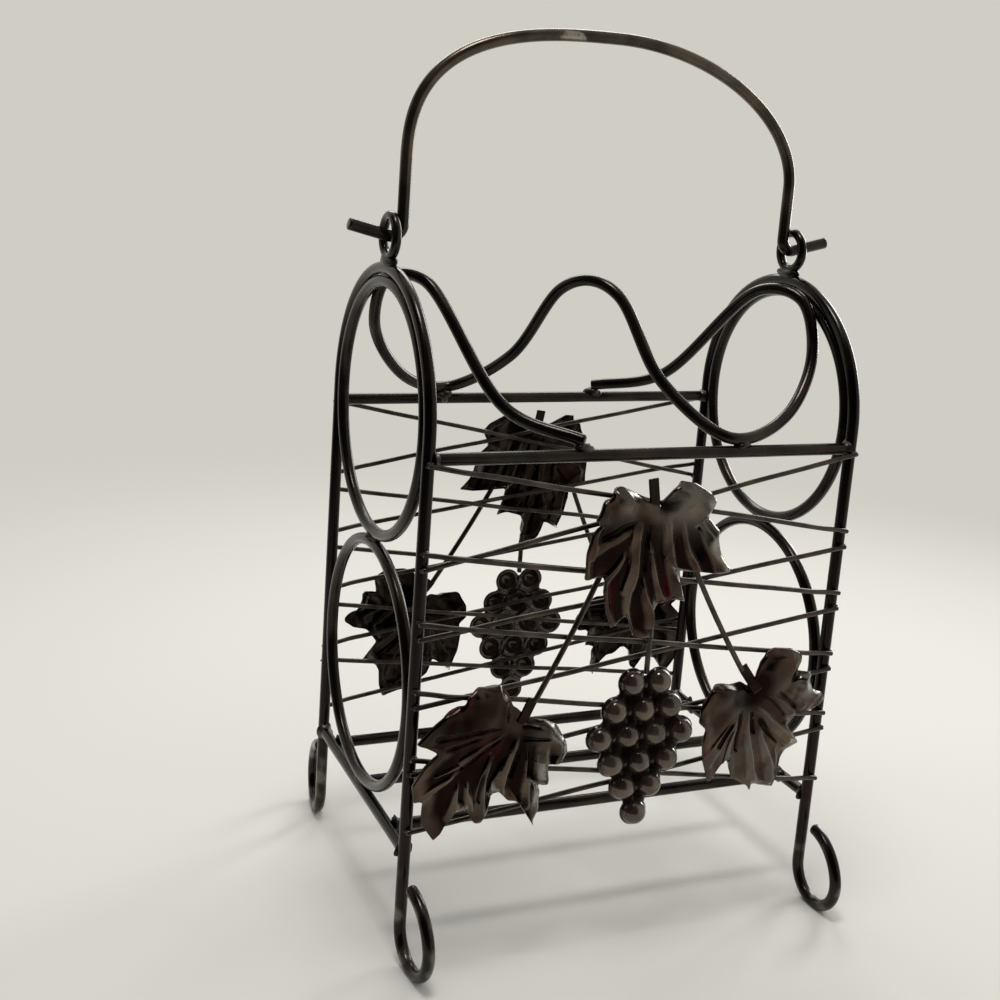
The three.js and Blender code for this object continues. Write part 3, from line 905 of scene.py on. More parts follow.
@dataclass(frozen=True)
class EndRings:
    """Bottle rings, handle eyelets and cross-bars of the ends."""

    layout: Layout
    ring_unevenness: float = 0.25
    eyelet_unevenness: float = 0.2
    bar_gap: float = 0.2             # between a bar's end and the leg, under its fillet

    def build(self) -> None:
        """Makes the hoops and bars of both ends."""
        place = self.layout
        hoops = {
            "upper_bottle_ring": (place.upper_ring, place.ring_radius, ROD_RADIUS, self.ring_unevenness),
            "lower_bottle_ring": (place.lower_ring, place.ring_radius, ROD_RADIUS, self.ring_unevenness),
            "handle_eyelet": (place.pivot, place.eyelet_radius, EYELET_RADIUS, self.eyelet_unevenness),
        }
        half_bar = place.leg_y - ROD_RADIUS - self.bar_gap
        bar = np.array([(-place.end_x, y, place.cross_bar) for y in (-half_bar, half_bar)])
        for seed, (end, turn) in enumerate(ENDS.items()):
            for part, (height, radius, rod, unevenness) in hoops.items():
                node = f"{end}_{part}"
                centre = np.array((-place.end_x, 0.0, height))
                hoop = hoop_surface(centre, radius, rod, 10 * seed + int(height), unevenness)
                add_piece(hoop.placed(turn), f"{node}_rod", ROD_FINISH, node)
            node = f"{end}_cross_bar"
            surface = rod_surface(resampled(bar), ROD_RADIUS, ALONG_X)
            add_piece(surface.placed(turn), f"{node}_rod", ROD_FINISH, node)


@dataclass(frozen=True)
class Rails:
    """Straight rods between the ends."""

    layout: Layout

    def build(self) -> None:
        """Makes the two top rails and the three bottom rails."""
        place = self.layout
        rails = {
            "front_top_rail": (-place.leg_y, place.top_rail),
            "rear_top_rail": (place.leg_y, place.top_rail),
            "front_bottom_rail": (-place.bottom_spread, place.bottom_rail),
            "middle_bottom_rail": (0.0, place.bottom_rail),
            "rear_bottom_rail": (place.bottom_spread, place.bottom_rail),
        }
        for node, (y, z) in rails.items():
            path = np.array(((-place.rail_reach, y, z), (place.rail_reach, y, z)))
            surface = rod_surface(resampled(path), ROD_RADIUS, UP)
            add_piece(surface, f"{node}_rod", ROD_FINISH, node)


def catmull_rom(points: Array, steps: int = 40) -> Array:
    """Centripetal Catmull-Rom curve through points.

    Over each span the curve is the cubic with the span's end points and tangents, and the tangents come from
    the three neighbouring spans weighed by the square roots of their lengths.

    Args:
        points: the points.
        steps: stations in each span.

    Returns:
        Points of the curve.
    """
    ends = np.concatenate((2.0 * points[:1] - points[1:2], points, 2.0 * points[-1:] - points[-2:-1]))
    p0, p1, p2, p3 = (ends[i:len(ends) - 3 + i] for i in range(4))
    pairs = ((p0, p1), (p1, p2), (p2, p3))
    d0, d1, d2 = (np.sqrt(np.linalg.norm(b - a, axis=1))[:, None] for a, b in pairs)
    start = d1 * ((p1 - p0) / d0 - (p2 - p0) / (d0 + d1) + (p2 - p1) / d1)
    stop = d1 * ((p2 - p1) / d1 - (p3 - p1) / (d1 + d2) + (p3 - p2) / d2)
    t = np.linspace(0.0, 1.0, steps, endpoint=False)[None, :, None]
    p1, p2, start, stop = (part[:, None] for part in (p1, p2, start, stop))
    square = 3.0 * (p2 - p1) - 2.0 * start - stop
    cube = 2.0 * (p1 - p2) + start + stop
    curve = p1 + start * t + square * t ** 2 + cube * t ** 3
    return np.concatenate((curve.reshape(-1, 3), points[-1:]))


@dataclass(frozen=True)
class ScrollRod:
    """One rod bent in three humps over the top rails."""

    layout: Layout
    touch: float = 5.3               # between the middle lines of two rods that touch
    shift: float = -4.5              # of the middle hump to the left
    crest_drop: float = 2.9          # of the middle hump under the arches' tops, and of the side humps
    side_drop: float = 3.9

    def path(self) -> Array:
        """Middle line: drawn once to see how far it runs past its points, and again moved by that.

        Returns:
            Points from the front rail at the left to the rear rail at the right.
        """
        rail_top = self.layout.top_rail + self.touch
        beside = self.touch - self.layout.end_x
        low = self.curve(rail_top, beside).min(axis=0)
        return self.curve(2.0 * rail_top - low[2], 2.0 * beside - low[0])

    def curve(self, rail_top: float, beside: float) -> Array:
        """Middle line through its points: half of it is drawn, and the other half is that turned half round.

        Args:
            rail_top: height of the points on the rails.
            beside: x of the points beside the left arch.

        Returns:
            Points of the curve.
        """
        place = self.layout
        side_crest = place.arch_top - self.side_drop
        crest = place.arch_top - self.crest_drop
        leg = place.leg_y
        half = np.array((
            (beside + 61.0, -leg, rail_top),
            (beside + 35.0, -leg + 22.0, rail_top + 9.0),
            (beside + 10.5, leg - 57.0, side_crest - 1.0),
            (beside, leg - 39.0, side_crest - 3.0),
            (beside, leg - 26.0, side_crest - 26.0),
            (beside + 21.0, leg - 11.0, rail_top + 7.0),
        ))
        half_hump = np.array((
            (-42.0, leg - 1.0, rail_top),
            (-21.0, leg - 27.0, rail_top + 20.0),
            (-8.0, leg - 48.0, crest - 5.5),
        ))
        hump = np.concatenate((half_hump, ((0.0, 0.0, crest),), Turn.HALF_ROUND.place(half_hump)[::-1]))
        hump = hump + self.shift * ALONG_X
        return catmull_rom(np.concatenate((half, hump, Turn.HALF_ROUND.place(half)[::-1])))

    def build(self) -> None:
        """Makes the scroll."""
        surface = rod_surface(resampled(self.path()), ROD_RADIUS, UP)
        add_piece(surface, "scroll_rod_bent", ROD_FINISH, "scroll_rod")


@dataclass(frozen=True)
class BailHandle:
    """Carrying handle: a flattened arch on two legs, hooked through the eyelets."""

    layout: Layout
    rise: float = 88.5               # of the crown's top over the eyelets
    crown: float = 59.0              # height of the crown alone
    left_fullness: float = 2.8
    right_fullness: float = 1.9
    bend: float = 5.0
    clearance: float = 0.1           # between a leg and the arch beside it
    hook_reach: float = 18.4
    hook_lift: float = 4.5
    hook_shade: float = 0.75         # share of the dark tone, which makes the legs and hooks darker than the crown
    shade_run: float = 25.0
    rub_x: float = -23.5             # middle of the rubbed patch
    rub_half: float = 4.2
    rub_feather: float = 0.6
    rub_slant: float = 0.8
    rub_front: Pair = (0.4, 1.0)     # where the patch sets in round the rod: forwards, from above and below
    rub_upper: Pair = (1.3, 0.7)
    rub_lower: Pair = (-ROD_RADIUS, -1.8)
    crown_stations: int = 121
    hook_stations: int = 14
    step: float = 1.2

    def path(self) -> Array:
        """Middle line in the plane y = 0, hook tip to hook tip.

        The crown is a superellipse: |x / a|^n + |z / c|^n = 1, with its own n on each half.

        Returns:
            Points from the left hook to the right one.
        """
        leg_x = self.layout.end_x - 2.0 * ROD_RADIUS - self.clearance
        angle = np.radians(np.linspace(180.0, 0.0, self.crown_stations))
        across, up = np.cos(angle), np.sin(angle)
        power = 2.0 / np.where(across < 0.0, self.left_fullness, self.right_fullness)
        crown_x = np.sign(across) * leg_x * np.abs(across) ** power
        crown_z = self.rise - self.crown + self.crown * np.abs(up) ** power
        bend = np.radians(np.linspace(-90.0, -180.0, self.hook_stations))
        tip = self.layout.end_x + self.hook_reach
        hook_x = np.concatenate(([tip], leg_x + self.bend * (1.0 + np.cos(bend))))
        hook_z = np.concatenate(([self.hook_lift], self.bend * (1.0 + np.sin(bend))))
        x = np.concatenate((-hook_x, crown_x, hook_x[::-1]))
        z = np.concatenate((hook_z, crown_z, hook_z[::-1]))
        return np.stack((x, np.zeros(len(x)), self.layout.pivot + z), axis=1)

    def build(self) -> None:
        """Makes the handle, with the lacquer rubbed off its front in one place."""
        surface = rod_surface(resampled(self.path(), self.step), ROD_RADIUS, ALONG_Y)
        x, y, z = surface.points.T
        above = z - self.layout.pivot - self.rise
        aside = np.abs(x - self.rub_x) + self.rub_slant * above
        near = smooth(self.rub_half + self.rub_feather, self.rub_half, aside) * smooth(*self.rub_front, -y)
        surface.rub = near * smooth(*self.rub_upper, above) * smooth(*self.rub_lower, above)
        surface.pool = self.hook_shade * smooth(0.0, -self.shade_run, above + self.crown)
        add_piece(surface, "bail_handle_rod", HANDLE_FINISH, "bail_handle", "handle")


@dataclass(frozen=True)
class Lattice:
    """Crossing wires on the two long faces, placed by the boxes of their nodes."""

    layout: Layout
    bow_start: float = 2.0           # from the legs to where a falling wire starts to bow out, and is out
    bow_run: float = 15.0
    sway: float = 0.22
    sway_run: float = 30.0
    sway_wave: float = 70.0
    stations: int = 161

    def wire(self, node: str, rising: bool, turn: Turn, seed: int) -> Surface:
        """One wire, drawn on the front face and then turned to its own.

        Args:
            node: the frame's node.
            rising: whether it rises to the right, straight across the legs, or falls and bows out between.
            turn: which face it belongs to.
            seed: picks its slight sway.

        Returns:
            The closed surface.
        """
        low, high = node_box(node)
        reach = (high[0] - low[0]) / 2.0
        near, far = sorted((abs(low[1]), abs(high[1])))
        first, last = low[2] + WIRE_RADIUS, high[2] - WIRE_RADIUS
        x = np.linspace(-reach, reach, self.stations)
        share = (x + reach) / (2.0 * reach)
        z = first + (last - first) * (share if rising else 1.0 - share)
        out = np.full(len(x), near + WIRE_RADIUS)
        end = self.layout.end_x
        if not rising:
            bow = smooth(end - self.bow_start, end - self.bow_run, np.abs(x))
            out += (far - near - 2.0 * WIRE_RADIUS) * bow
        between = smooth(end, end - self.sway_run, np.abs(x))
        z += self.sway * between * ripple(x[:, None], seed, self.sway_wave)
        path = np.stack((x, -out, z), axis=1)
        return rod_surface(resampled(path), WIRE_RADIUS, UP, WIRE_SIDES, WIRE_EDGE).placed(turn)

    def build(self) -> None:
        """Makes all the wires of both faces."""
        for face, turn in FACES.items():
            for number in range(1, WIRE_PAIRS + 1):
                for rising in (True, False):
                    node = f"{face}_{'rising' if rising else 'falling'}_wire_{number}"
                    seed = 100 * number + 10 * rising + int(turn.value)
                    surface = self.wire(node, rising, turn, seed + 1)
                    add_piece(surface, f"{node}_drawn", WIRE_FINISH, node)


@dataclass(frozen=True)
class Bulge:
    """A round swelling of a leaf, placed from its base. A shade over 0 is painted shade, and under 0 a
    painted highlight.
    """

    x: float
    z: float
    radius: float
    height: float
    shade: float


@dataclass(frozen=True)
class LeafForm:
    """One leaf as it was cut and bent by hand. Places are across and up from its base.

    outline runs round the edge, and all of it can be seen from the point heart. Each ridge and groove is a
    band from x, z to x, z with its width at both ends. thick_valleys is the share of painted shade between
    the folds, partly dark lacquer that pooled there, crest_highlight that of painted highlight on them, and
    dark_heart how much darker it is about the base. plain_edge is the width of the edge without valleys.
    stalk is the upper and lower end of the strap that the leaf hangs from, which leans out by stalk_rise. The
    left edges above the height red_end carry painted shade in wine-red.
    """

    x: float
    z: float
    turn: float
    fold_height: float
    thick_valleys: float
    crest_highlight: float
    plain_edge: float
    dark_heart: float
    red_end: float
    heart: Pair
    stalk: tuple[Pair, Pair]
    stalk_rise: float
    ridges: tuple[Line, ...]
    grooves: tuple[Line, ...]
    bulges: tuple[Bulge, ...]
    outline: tuple[Pair, ...]
    seed: int

    def place(self, spot: Pair) -> Array:
        """A spot of the leaf, across and up from its base, as x and height."""
        return np.array((self.x, self.z)) + spot


TOP_LEAF = LeafForm(
    x=0.0, z=-17.6, turn=0.0, fold_height=1.2, thick_valleys=0.96, crest_highlight=0.0, plain_edge=4.0,
    dark_heart=0.0, red_end=-60.0, heart=(-3.0, -22.0), stalk=((-3.2, 9.0), (-1.2, -5.0)), stalk_rise=0.7,
    ridges=(
        (-9.6, -11.0, -11.5, -37.0, 5.0, 6.5), (-10.5, -30.0, -12.0, -52.0, 5.5, 2.5),
        (-4.3, -17.5, 5.5, -46.0, 1.2, 4.5), (1.5, -5.0, 12.5, -44.0, 3.5, 6.0),
        (9.5, -9.0, 20.5, -32.0, 1.2, 4.0), (-13.0, -13.0, -34.0, -21.0, 2.5, 5.0),
        (-5.0, -34.0, -0.5, -54.0, 1.8, 6.0), (19.0, -8.0, 32.0, -31.0, 3.5, 8.0),
        (-30.5, -9.0, -32.5, -22.0, 5.0, 4.0), (-15.0, -22.0, -23.0, -33.0, 2.0, 3.5),
    ),
    grooves=((-12.0, -9.0, -26.0, -15.0, 2.5, 2.0), (-4.4, -11.0, -4.6, -30.0, 1.0, 1.4)),
    bulges=(
        Bulge(9.0, 2.0, 14.0, 2.0, -0.2), Bulge(20.0, -2.0, 10.0, 1.0, -0.1),
        Bulge(-17.0, 1.0, 10.0, 1.8, -0.12), Bulge(-28.0, -3.5, 6.0, 1.4, 0.5),
    ),
    outline=(
        (1.5, -1.0), (5.0, 5.0), (9.5, 8.0), (17.5, 6.5), (25.0, 2.5), (27.5, -1.5), (24.0, -8.0),
        (30.5, -14.0), (30.0, -18.5), (32.0, -24.0), (37.5, -32.0), (30.5, -33.0), (13.5, -31.5),
        (14.5, -36.5), (17.5, -45.5), (11.5, -44.0), (4.0, -46.0), (2.0, -51.0), (4.0, -61.5), (-1.5, -61.5),
        (-7.5, -58.5), (-10.5, -50.0), (-18.5, -54.5), (-22.0, -47.0), (-24.0, -38.0), (-24.0, -31.5),
        (-34.5, -31.5), (-34.5, -20.0), (-33.0, -13.0), (-28.5, -8.5), (-31.5, -6.5), (-28.0, 1.0),
        (-24.0, 3.0), (-24.0, 5.5), (-18.0, 6.5), (-7.0, 1.5),
    ),
    seed=1,
)
LEFT_LEAF = LeafForm(
    x=-56.0, z=59.0, turn=-38.0, fold_height=1.1, thick_valleys=0.96, crest_highlight=0.06, plain_edge=9.0,
    dark_heart=0.35, red_end=-20.0, heart=(-13.0, -14.0), stalk=((5.5, 7.0), (0.0, -4.0)), stalk_rise=0.7,
    ridges=(
        (-19.0, -5.2, -34.0, -9.5, 1.2, 3.2), (-7.5, -5.5, -25.0, -17.0, 1.5, 4.4),
        (-25.0, -18.0, -37.0, -21.5, 2.0, 1.2), (-27.0, -21.0, -45.0, -32.0, 1.5, 4.6),
        (-1.0, -8.5, -6.5, -23.0, 2.0, 5.0), (-6.5, -21.0, -10.0, -32.0, 4.5, 7.5),
        (-12.8, -16.0, -18.5, -42.0, 2.0, 6.0), (-25.5, -25.5, -29.5, -41.0, 1.5, 5.5),
        (4.0, -15.0, 3.0, -38.0, 0.8, 5.0), (11.0, -11.0, 8.5, -40.0, 5.0, 6.0),
        (-22.0, -26.0, -22.0, -38.0, 1.5, 3.5),
    ),
    grooves=(
        (-18.0, -6.5, -34.0, -10.5, 1.0, 1.5), (-9.0, -7.8, -25.0, -19.0, 1.0, 1.5),
        (-14.0, -22.0, -18.0, -35.0, 1.2, 1.8), (-25.0, -24.0, -25.5, -34.0, 0.8, 1.2),
        (1.0, -9.0, 13.0, -9.5, 2.0, 1.0), (-0.5, -14.0, -4.0, -25.0, 2.5, 2.0),
        (6.0, -11.0, 4.5, -26.0, 3.5, 2.0), (-10.0, -3.0, -38.0, -4.5, 1.0, 3.0),
    ),
    bulges=(
        Bulge(-16.0, 4.0, 15.0, 2.6, 0.6), Bulge(-32.0, 0.0, 12.0, 1.5, 0.95),
        Bulge(11.0, -6.0, 9.0, 1.8, -0.1),
    ),
    outline=(
        (-0.5, 3.0), (-3.5, 5.0), (-6.0, 10.5), (-9.5, 15.0), (-21.0, 15.5), (-26.0, 12.5), (-26.5, 9.5),
        (-35.0, 6.5), (-41.0, 2.0), (-47.5, -5.0), (-43.0, -7.0), (-37.0, -11.0), (-43.0, -17.0),
        (-47.5, -24.0), (-46.0, -32.0), (-42.0, -32.0), (-42.0, -42.0), (-35.5, -51.0), (-32.0, -46.5),
        (-30.0, -41.0), (-22.0, -38.5), (-19.5, -43.5), (-16.0, -46.0), (-12.5, -43.5), (-11.5, -35.0),
        (-8.0, -32.0), (-4.0, -36.0), (0.5, -37.0), (8.0, -48.5), (10.5, -42.0), (11.0, -34.0), (10.0, -31.0),
        (15.0, -30.5), (14.5, -21.5), (19.0, -22.0), (23.0, -18.5), (22.0, -13.0), (17.5, -5.5), (11.5, -2.5),
        (3.5, -1.5),
    ),
    seed=2,
)
RIGHT_LEAF = LeafForm(
    x=56.0, z=61.0, turn=23.0, fold_height=0.7, thick_valleys=0.15, crest_highlight=0.1, plain_edge=6.0,
    dark_heart=0.95, red_end=-28.0, heart=(3.0, -14.0), stalk=((-5.0, 10.5), (3.0, -1.0)), stalk_rise=2.0,
    ridges=(
        (12.0, -1.0, 27.0, -9.0, 2.0, 4.5), (5.0, -1.5, 22.0, -13.5, 2.0, 5.0),
        (1.5, -9.0, 28.0, -30.0, 2.5, 6.0), (-1.5, -9.5, 5.0, -46.0, 1.5, 6.5),
        (-5.0, -11.5, -22.0, -31.0, 2.0, 6.5), (-6.5, -15.0, -11.0, -33.0, 1.5, 4.0),
        (6.5, -19.0, 16.0, -48.0, 2.0, 7.0),
    ),
    grooves=(
        (-8.0, -14.5, -16.0, -25.0, 1.5, 2.5), (-4.5, -10.0, -5.0, -28.0, 2.2, 1.2),
        (0.8, -10.5, 3.5, -20.0, 1.0, 2.2), (4.5, -13.5, 15.5, -26.5, 2.6, 1.0),
        (5.5, -3.0, 18.5, -13.5, 1.2, 0.9), (12.5, -1.5, 23.5, -9.5, 1.2, 1.8),
    ),
    bulges=(
        Bulge(12.0, 8.0, 12.0, 2.2, 0.6), Bulge(-14.0, -1.0, 9.0, 2.6, 0.3), Bulge(27.0, 1.0, 9.0, 1.6, -0.5),
        Bulge(-9.0, -5.0, 10.0, 0.0, 0.5),
    ),
    outline=(
        (-5.0, 3.5), (-10.0, 2.5), (-14.5, 3.5), (-19.0, 3.5), (-22.0, 2.0), (-24.0, -1.5), (-27.0, -6.0),
        (-27.5, -12.0), (-23.5, -15.5), (-25.0, -21.0), (-24.0, -29.5), (-21.0, -39.0), (-19.5, -40.5),
        (-14.5, -35.5), (-9.5, -32.5), (-7.0, -40.5), (3.0, -46.5), (5.0, -49.5), (7.0, -46.5), (18.0, -49.5),
        (20.0, -43.5), (20.5, -35.5), (22.5, -32.0), (29.5, -29.0), (22.5, -20.0), (28.0, -13.0),
        (34.5, -12.0), (39.5, -8.5), (38.5, -5.0), (33.5, -3.0), (30.5, 2.0), (30.5, 6.0), (24.0, 6.5),
        (25.0, 14.5), (19.5, 17.5), (10.5, 18.0), (5.5, 16.5), (2.5, 13.0), (1.5, 8.5), (1.0, 4.0),
        (-1.0, 1.0),
    ),
    seed=3,
)


class Wave(Enum):
    """Ripples over a leaf: what each adds to the leaf's seed, and the length of its waves."""

    SWAY = (0, 22.0)
    RED_VALLEY = (3, 30.0)
    LIP_HIGHLIGHT = (5, 12.0)
    DENT = (7, 11.0)
    LIP = (9, 7.0)
    LIP_WIDTH = (11, 14.0)
    RED_EDGE = (13, 25.0)


@dataclass(frozen=True)
class Leaf:
    """Pressed vine leaf: cupped sheet, pleated from its base, with swollen ears and an edge rolled back.

    Sizes are millimetres. The values named shade, red and highlight are shares of painted shade (partly
    lacquer that pooled in the folds), of wine-red and of painted highlights; the red on the left edges is
    painted shade too. darkest and thick_behind are shares of the dark tone. Each pair but light is where
    something starts and where it is full. to_light, to_right, to_left, upwards and roll_span are read on the
    edge's outward direction, fold_to_right on a fold's, and those named wave on a ripple.
    """

    sheet: float = 1.0
    cup: float = 5.0
    half_width: float = 38.0
    groove: float = 0.8
    flank: float = 1.2
    edge_line: float = 0.6
    edge_inset: float = 0.3
    bulge_spread: float = 0.6
    bulge_calm: float = 1.2          # how far a bulge keeps the folds away
    light: Pair = (0.8, -0.6)        # across and up, the way to the light; edges that look this way get painted highlights
    to_light: Pair = (-0.1, 0.6)
    to_right: Pair = (0.2, 0.9)
    to_left: Pair = (-0.2, -0.8)
    upwards: Pair = (0.2, 0.8)
    fold_to_right: Pair = (0.3, 0.8)
    band_start: Pair = (-0.1, 0.2)   # shares of a band's length over which it grows
    lip: float = 2.3
    lip_slope: float = 0.35          # how much of the lip's fall is even
    least_roll: float = 0.2          # of the lip where the edge looks to the left
    roll_span: Pair = (-0.75, 0.0)
    lip_width: float = 3.6
    right_lip: float = 1.8
    upper_lip: float = 1.6
    right_lip_width: float = 3.0
    lip_wave: float = 0.25
    lip_width_wave: float = 0.35
    lift: float = 0.6                # of the whole sheet off its back
    dent: float = 0.35
    dent_start: Pair = (2.0, 12.0)   # distances from the base, as for the folds' rise and the valleys
    rise_start: Pair = (0.0, 10.0)
    valley_start: Pair = (4.0, 11.0)
    valley_end: float = 0.25         # of the plain edge's width, where a valley has run out
    dark_heart: Pair = (14.0, 4.0)
    sway: float = 0.9                # how far the folds wander across, and how much of that up
    up_sway: float = 0.5
    # Painted shade in the grooves, and the most dark tone that any place gets.
    thick_groove: float = 0.95
    most_thick: float = 0.97
    # The red on the edges that look to the left is painted shade, in the lacquer's wine-red.
    red_edge: float = 0.5
    red_fade: float = 6.0            # millimetres of height over which the red edges fade
    red_inset: Pair = (7.0, 1.0)     # distances from the edge
    red_edge_wave: Pair = (-0.2, 0.5)
    red_valley_wave: Pair = (0.3, 1.0)
    # Painted highlights on the lips and on the folds that look to the light.
    highlight_wave: Pair = (-0.6, 0.4)
    highlight_start: Pair = (0.02, 0.35)  # shares of the way over the lip
    lip_highlight: float = 0.6
    fold_highlight: float = 0.22
    back: float = ORNAMENT_BACK
    # How dark the back of a leaf is all over.
    thick_behind: float = 0.8
    share_behind: float = 0.4        # what the back has of each of the front's marks
    stock_step: float = 90.0         # between the stock of two leaves, so that their marks differ
    angles: int = 540
    rings: int = 58
    ring_power: float = 0.85         # under 1, so that the rings lie closer near the edge
    edge_span: int = 5               # points along the edge that its direction is taken over
    corner: float = 0.8

    def edge(self, form: LeafForm) -> Array:
        """The leaf's edge at even steps along it, with corners rounded by a running mean.

        Args:
            form: the leaf.

        Returns:
            Places across and up from the base.
        """
        closed = np.array(form.outline + form.outline[:1])
        lengths = np.linalg.norm(np.diff(closed, axis=0), axis=1)
        travelled = np.concatenate(([0.0], np.cumsum(lengths)))
        at = np.linspace(0.0, travelled[-1], self.angles, endpoint=False)
        line = np.stack([np.interp(at, travelled, closed[:, axis]) for axis in range(2)], axis=1)
        reach = max(1, int(round(self.corner * self.angles / travelled[-1])))
        shifts = range(-reach, reach + 1)
        return np.mean([np.roll(line, shift, axis=0) for shift in shifts], axis=0)

    def bands(self, lines: tuple[Line, ...], x: Array, z: Array) -> tuple[Array, Array]:
        """Share of the nearest band at each place, from 0 to 1: flat across its width, with a steep flank.

        With t the share of the way along a band and d the distance from its middle, the band is
        w = w0 + (w1 - w0) t wide, and its share is a smooth step of 0.5 + (w / 2 - d) / flank. It grows over
        the first fifth of the band. A thin bell just inside d = w / 2 marks its edge, on the side that looks
        to the right, where a painted highlight goes.

        Args:
            lines: the bands.
            x: place across from the base.
            z: place up from the base.

        Returns:
            The largest share of any band, and of any edge that looks to the right, where a painted highlight
            goes.
        """
        most = np.zeros_like(x)
        lit = np.zeros_like(x)
        for x0, z0, x1, z1, w0, w1 in lines:
            run = np.array((x1 - x0, z1 - z0))
            t = np.clip(((x - x0) * run[0] + (z - z0) * run[1]) / (run @ run), 0.0, 1.0)
            away = np.hypot(x - x0 - t * run[0], z - z0 - t * run[1])
            half = 0.5 * (w0 + (w1 - w0) * t)
            start = smooth(*self.band_start, t)
            most = np.maximum(most, smooth(0.0, 1.0, 0.5 + (half - away) / self.flank) * start)
            to_right = smooth(*self.fold_to_right, (x - x0 - t * run[0]) / np.maximum(away, 1e-6))
            bell = np.exp(-((away - half + self.edge_inset) / self.edge_line) ** 2)
            lit = np.maximum(lit, bell * to_right * start)
        return most, lit

    def surface(self, form: LeafForm) -> Surface:
        """One leaf on the front face.

        At place k on the edge and share s of the way to it, the sheet's point is heart + s (edge[k] - heart).
        Its height is a cup, (across the leaf / half width)^2, less its valleys and grooves, plus a bell for
        each bulge, less a lip. The lip falls to the edge as a t + (1 - a) t^2 over its wavy width, where a is
        its slope. It is deeper where the edge looks up, wider and deeper where it looks to the right, and
        hardly there where it looks to the left. The valleys and grooves get painted shade, partly lacquer
        that pooled there, the base is darker, and each bulge adds painted shade where its shade is over 0.
        The lips and folds that look to the light get painted highlights, as do the bulges whose shade is
        under 0. Some valleys are wine-red, and some left edges get painted shade in wine-red.

        Args:
            form: the leaf.

        Returns:
            The closed surface of the sheet.
        """
        heart = np.array(form.heart)
        edge = self.edge(form)
        spoke = edge - heart
        along = np.roll(edge, -self.edge_span, axis=0) - np.roll(edge, self.edge_span, axis=0)
        winding = np.sign(np.sum(edge[:, 0] * along[:, 1] - edge[:, 1] * along[:, 0]))
        out_x, out_z = winding * unit(np.stack((along[:, 1], -along[:, 0]), axis=1)).T
        looks_right = smooth(*self.to_right, out_x)
        looks_up = smooth(*self.upwards, out_z)
        rolled = self.least_roll + (1.0 - self.least_roll) * smooth(*self.roll_span, out_x)
        lit_edge = smooth(*self.to_light, self.light[0] * out_x + self.light[1] * out_z)
        share = (np.arange(1, self.rings + 1) / self.rings)[:, None, None] ** self.ring_power
        place = heart + share * spoke
        x, z = place[..., 0], place[..., 1]
        inset = (1.0 - share[..., 0]) * np.linalg.norm(spoke, axis=1)
        turn = math.radians(form.turn)
        across = x * math.cos(turn) + z * math.sin(turn)
        flat = np.stack((x.ravel(), z.ravel()), axis=1)
        distance = np.hypot(x, z)

        def waves(wave: Wave) -> Array:
            """Ripple over the leaf."""
            seed, size = wave.value
            return ripple(flat, form.seed + seed, size).reshape(x.shape)

        swell = np.zeros_like(x)
        shade = np.zeros_like(x)
        calm = np.ones_like(x)
        for bulge in form.bulges:
            square = (x - bulge.x) ** 2 + (z - bulge.z) ** 2
            bell = np.exp(-square / (self.bulge_spread * bulge.radius ** 2))
            swell = np.maximum(swell, bulge.height * bell)
            shade = shade + bulge.shade * bell
            calm = calm * (1.0 - bell) ** self.bulge_calm
        sway = self.sway * waves(Wave.SWAY)
        swayed = (x + sway, z + self.up_sway * sway)
        ridge, lit_fold = (band * calm for band in self.bands(form.ridges, *swayed))
        groove, _ = self.bands(form.grooves, *swayed)
        lip_width = (self.lip_width + self.right_lip_width * looks_right) * rolled
        lip_width = lip_width * (1.0 + self.lip_width_wave * waves(Wave.LIP_WIDTH))
        on_lip = np.clip(1.0 - inset / lip_width, 0.0, 1.0)
        lip = (self.lip + self.right_lip * looks_right + self.upper_lip * looks_up) * rolled
        lip = lip * (self.lip_slope * on_lip + (1.0 - self.lip_slope) * on_lip ** 2)
        inside_edge = smooth(self.valley_end * form.plain_edge, form.plain_edge, inset)
        valley = (1.0 - ridge) * calm * (smooth(*self.valley_start, distance) * inside_edge)
        height = self.cup * (across / self.half_width) ** 2 + swell
        height = height + self.dent * waves(Wave.DENT) * smooth(*self.dent_start, distance)
        height = height + (form.fold_height + self.groove) * smooth(*self.rise_start, distance)
        height = height - form.fold_height * valley - self.groove * groove
        height = height + self.lip_wave * waves(Wave.LIP) * on_lip
        height = np.maximum(height + self.lift - lip, 0.0)

        # Painted shade in the valleys and grooves, partly lacquer that pooled there, a darker base, and the
        # bulges' painted shade.
        pool = form.thick_valleys * valley + self.thick_groove * groove
        pool = pool + form.dark_heart * smooth(*self.dark_heart, distance) + shade
        pool = np.clip(pool, 0.0, self.most_thick)
        # Painted shade in wine-red on the edges that look to the left; the red in some valleys is the
        # lacquer's tint.
        left_edge = smooth(*self.to_left, out_x) * smooth(*self.red_inset, inset)
        left_edge = left_edge * smooth(*self.red_edge_wave, waves(Wave.RED_EDGE))
        left_edge = left_edge * smooth(form.red_end - self.red_fade, form.red_end, z)
        wine = form.thick_valleys * valley * smooth(*self.red_valley_wave, waves(Wave.RED_VALLEY))
        wine = np.clip(wine + self.red_edge * left_edge, 0.0, 1.0)
        # Painted highlights on the lips and folds that look to the light, and on the bulges whose shade is
        # under 0.
        lip_highlight = smooth(*self.highlight_start, on_lip) * smooth(*self.highlight_wave, waves(Wave.LIP_HIGHLIGHT)) * lit_edge
        fold_highlight = form.crest_highlight * ridge * (1.0 - pool) + self.fold_highlight * lit_fold * (1.0 - groove)
        rub = np.clip(self.lip_highlight * lip_highlight + fold_highlight - shade, 0.0, 1.0)
        return self._sheet(form, np.stack((x, z, height)), {"wine": wine, "rub": rub, "pool": pool})

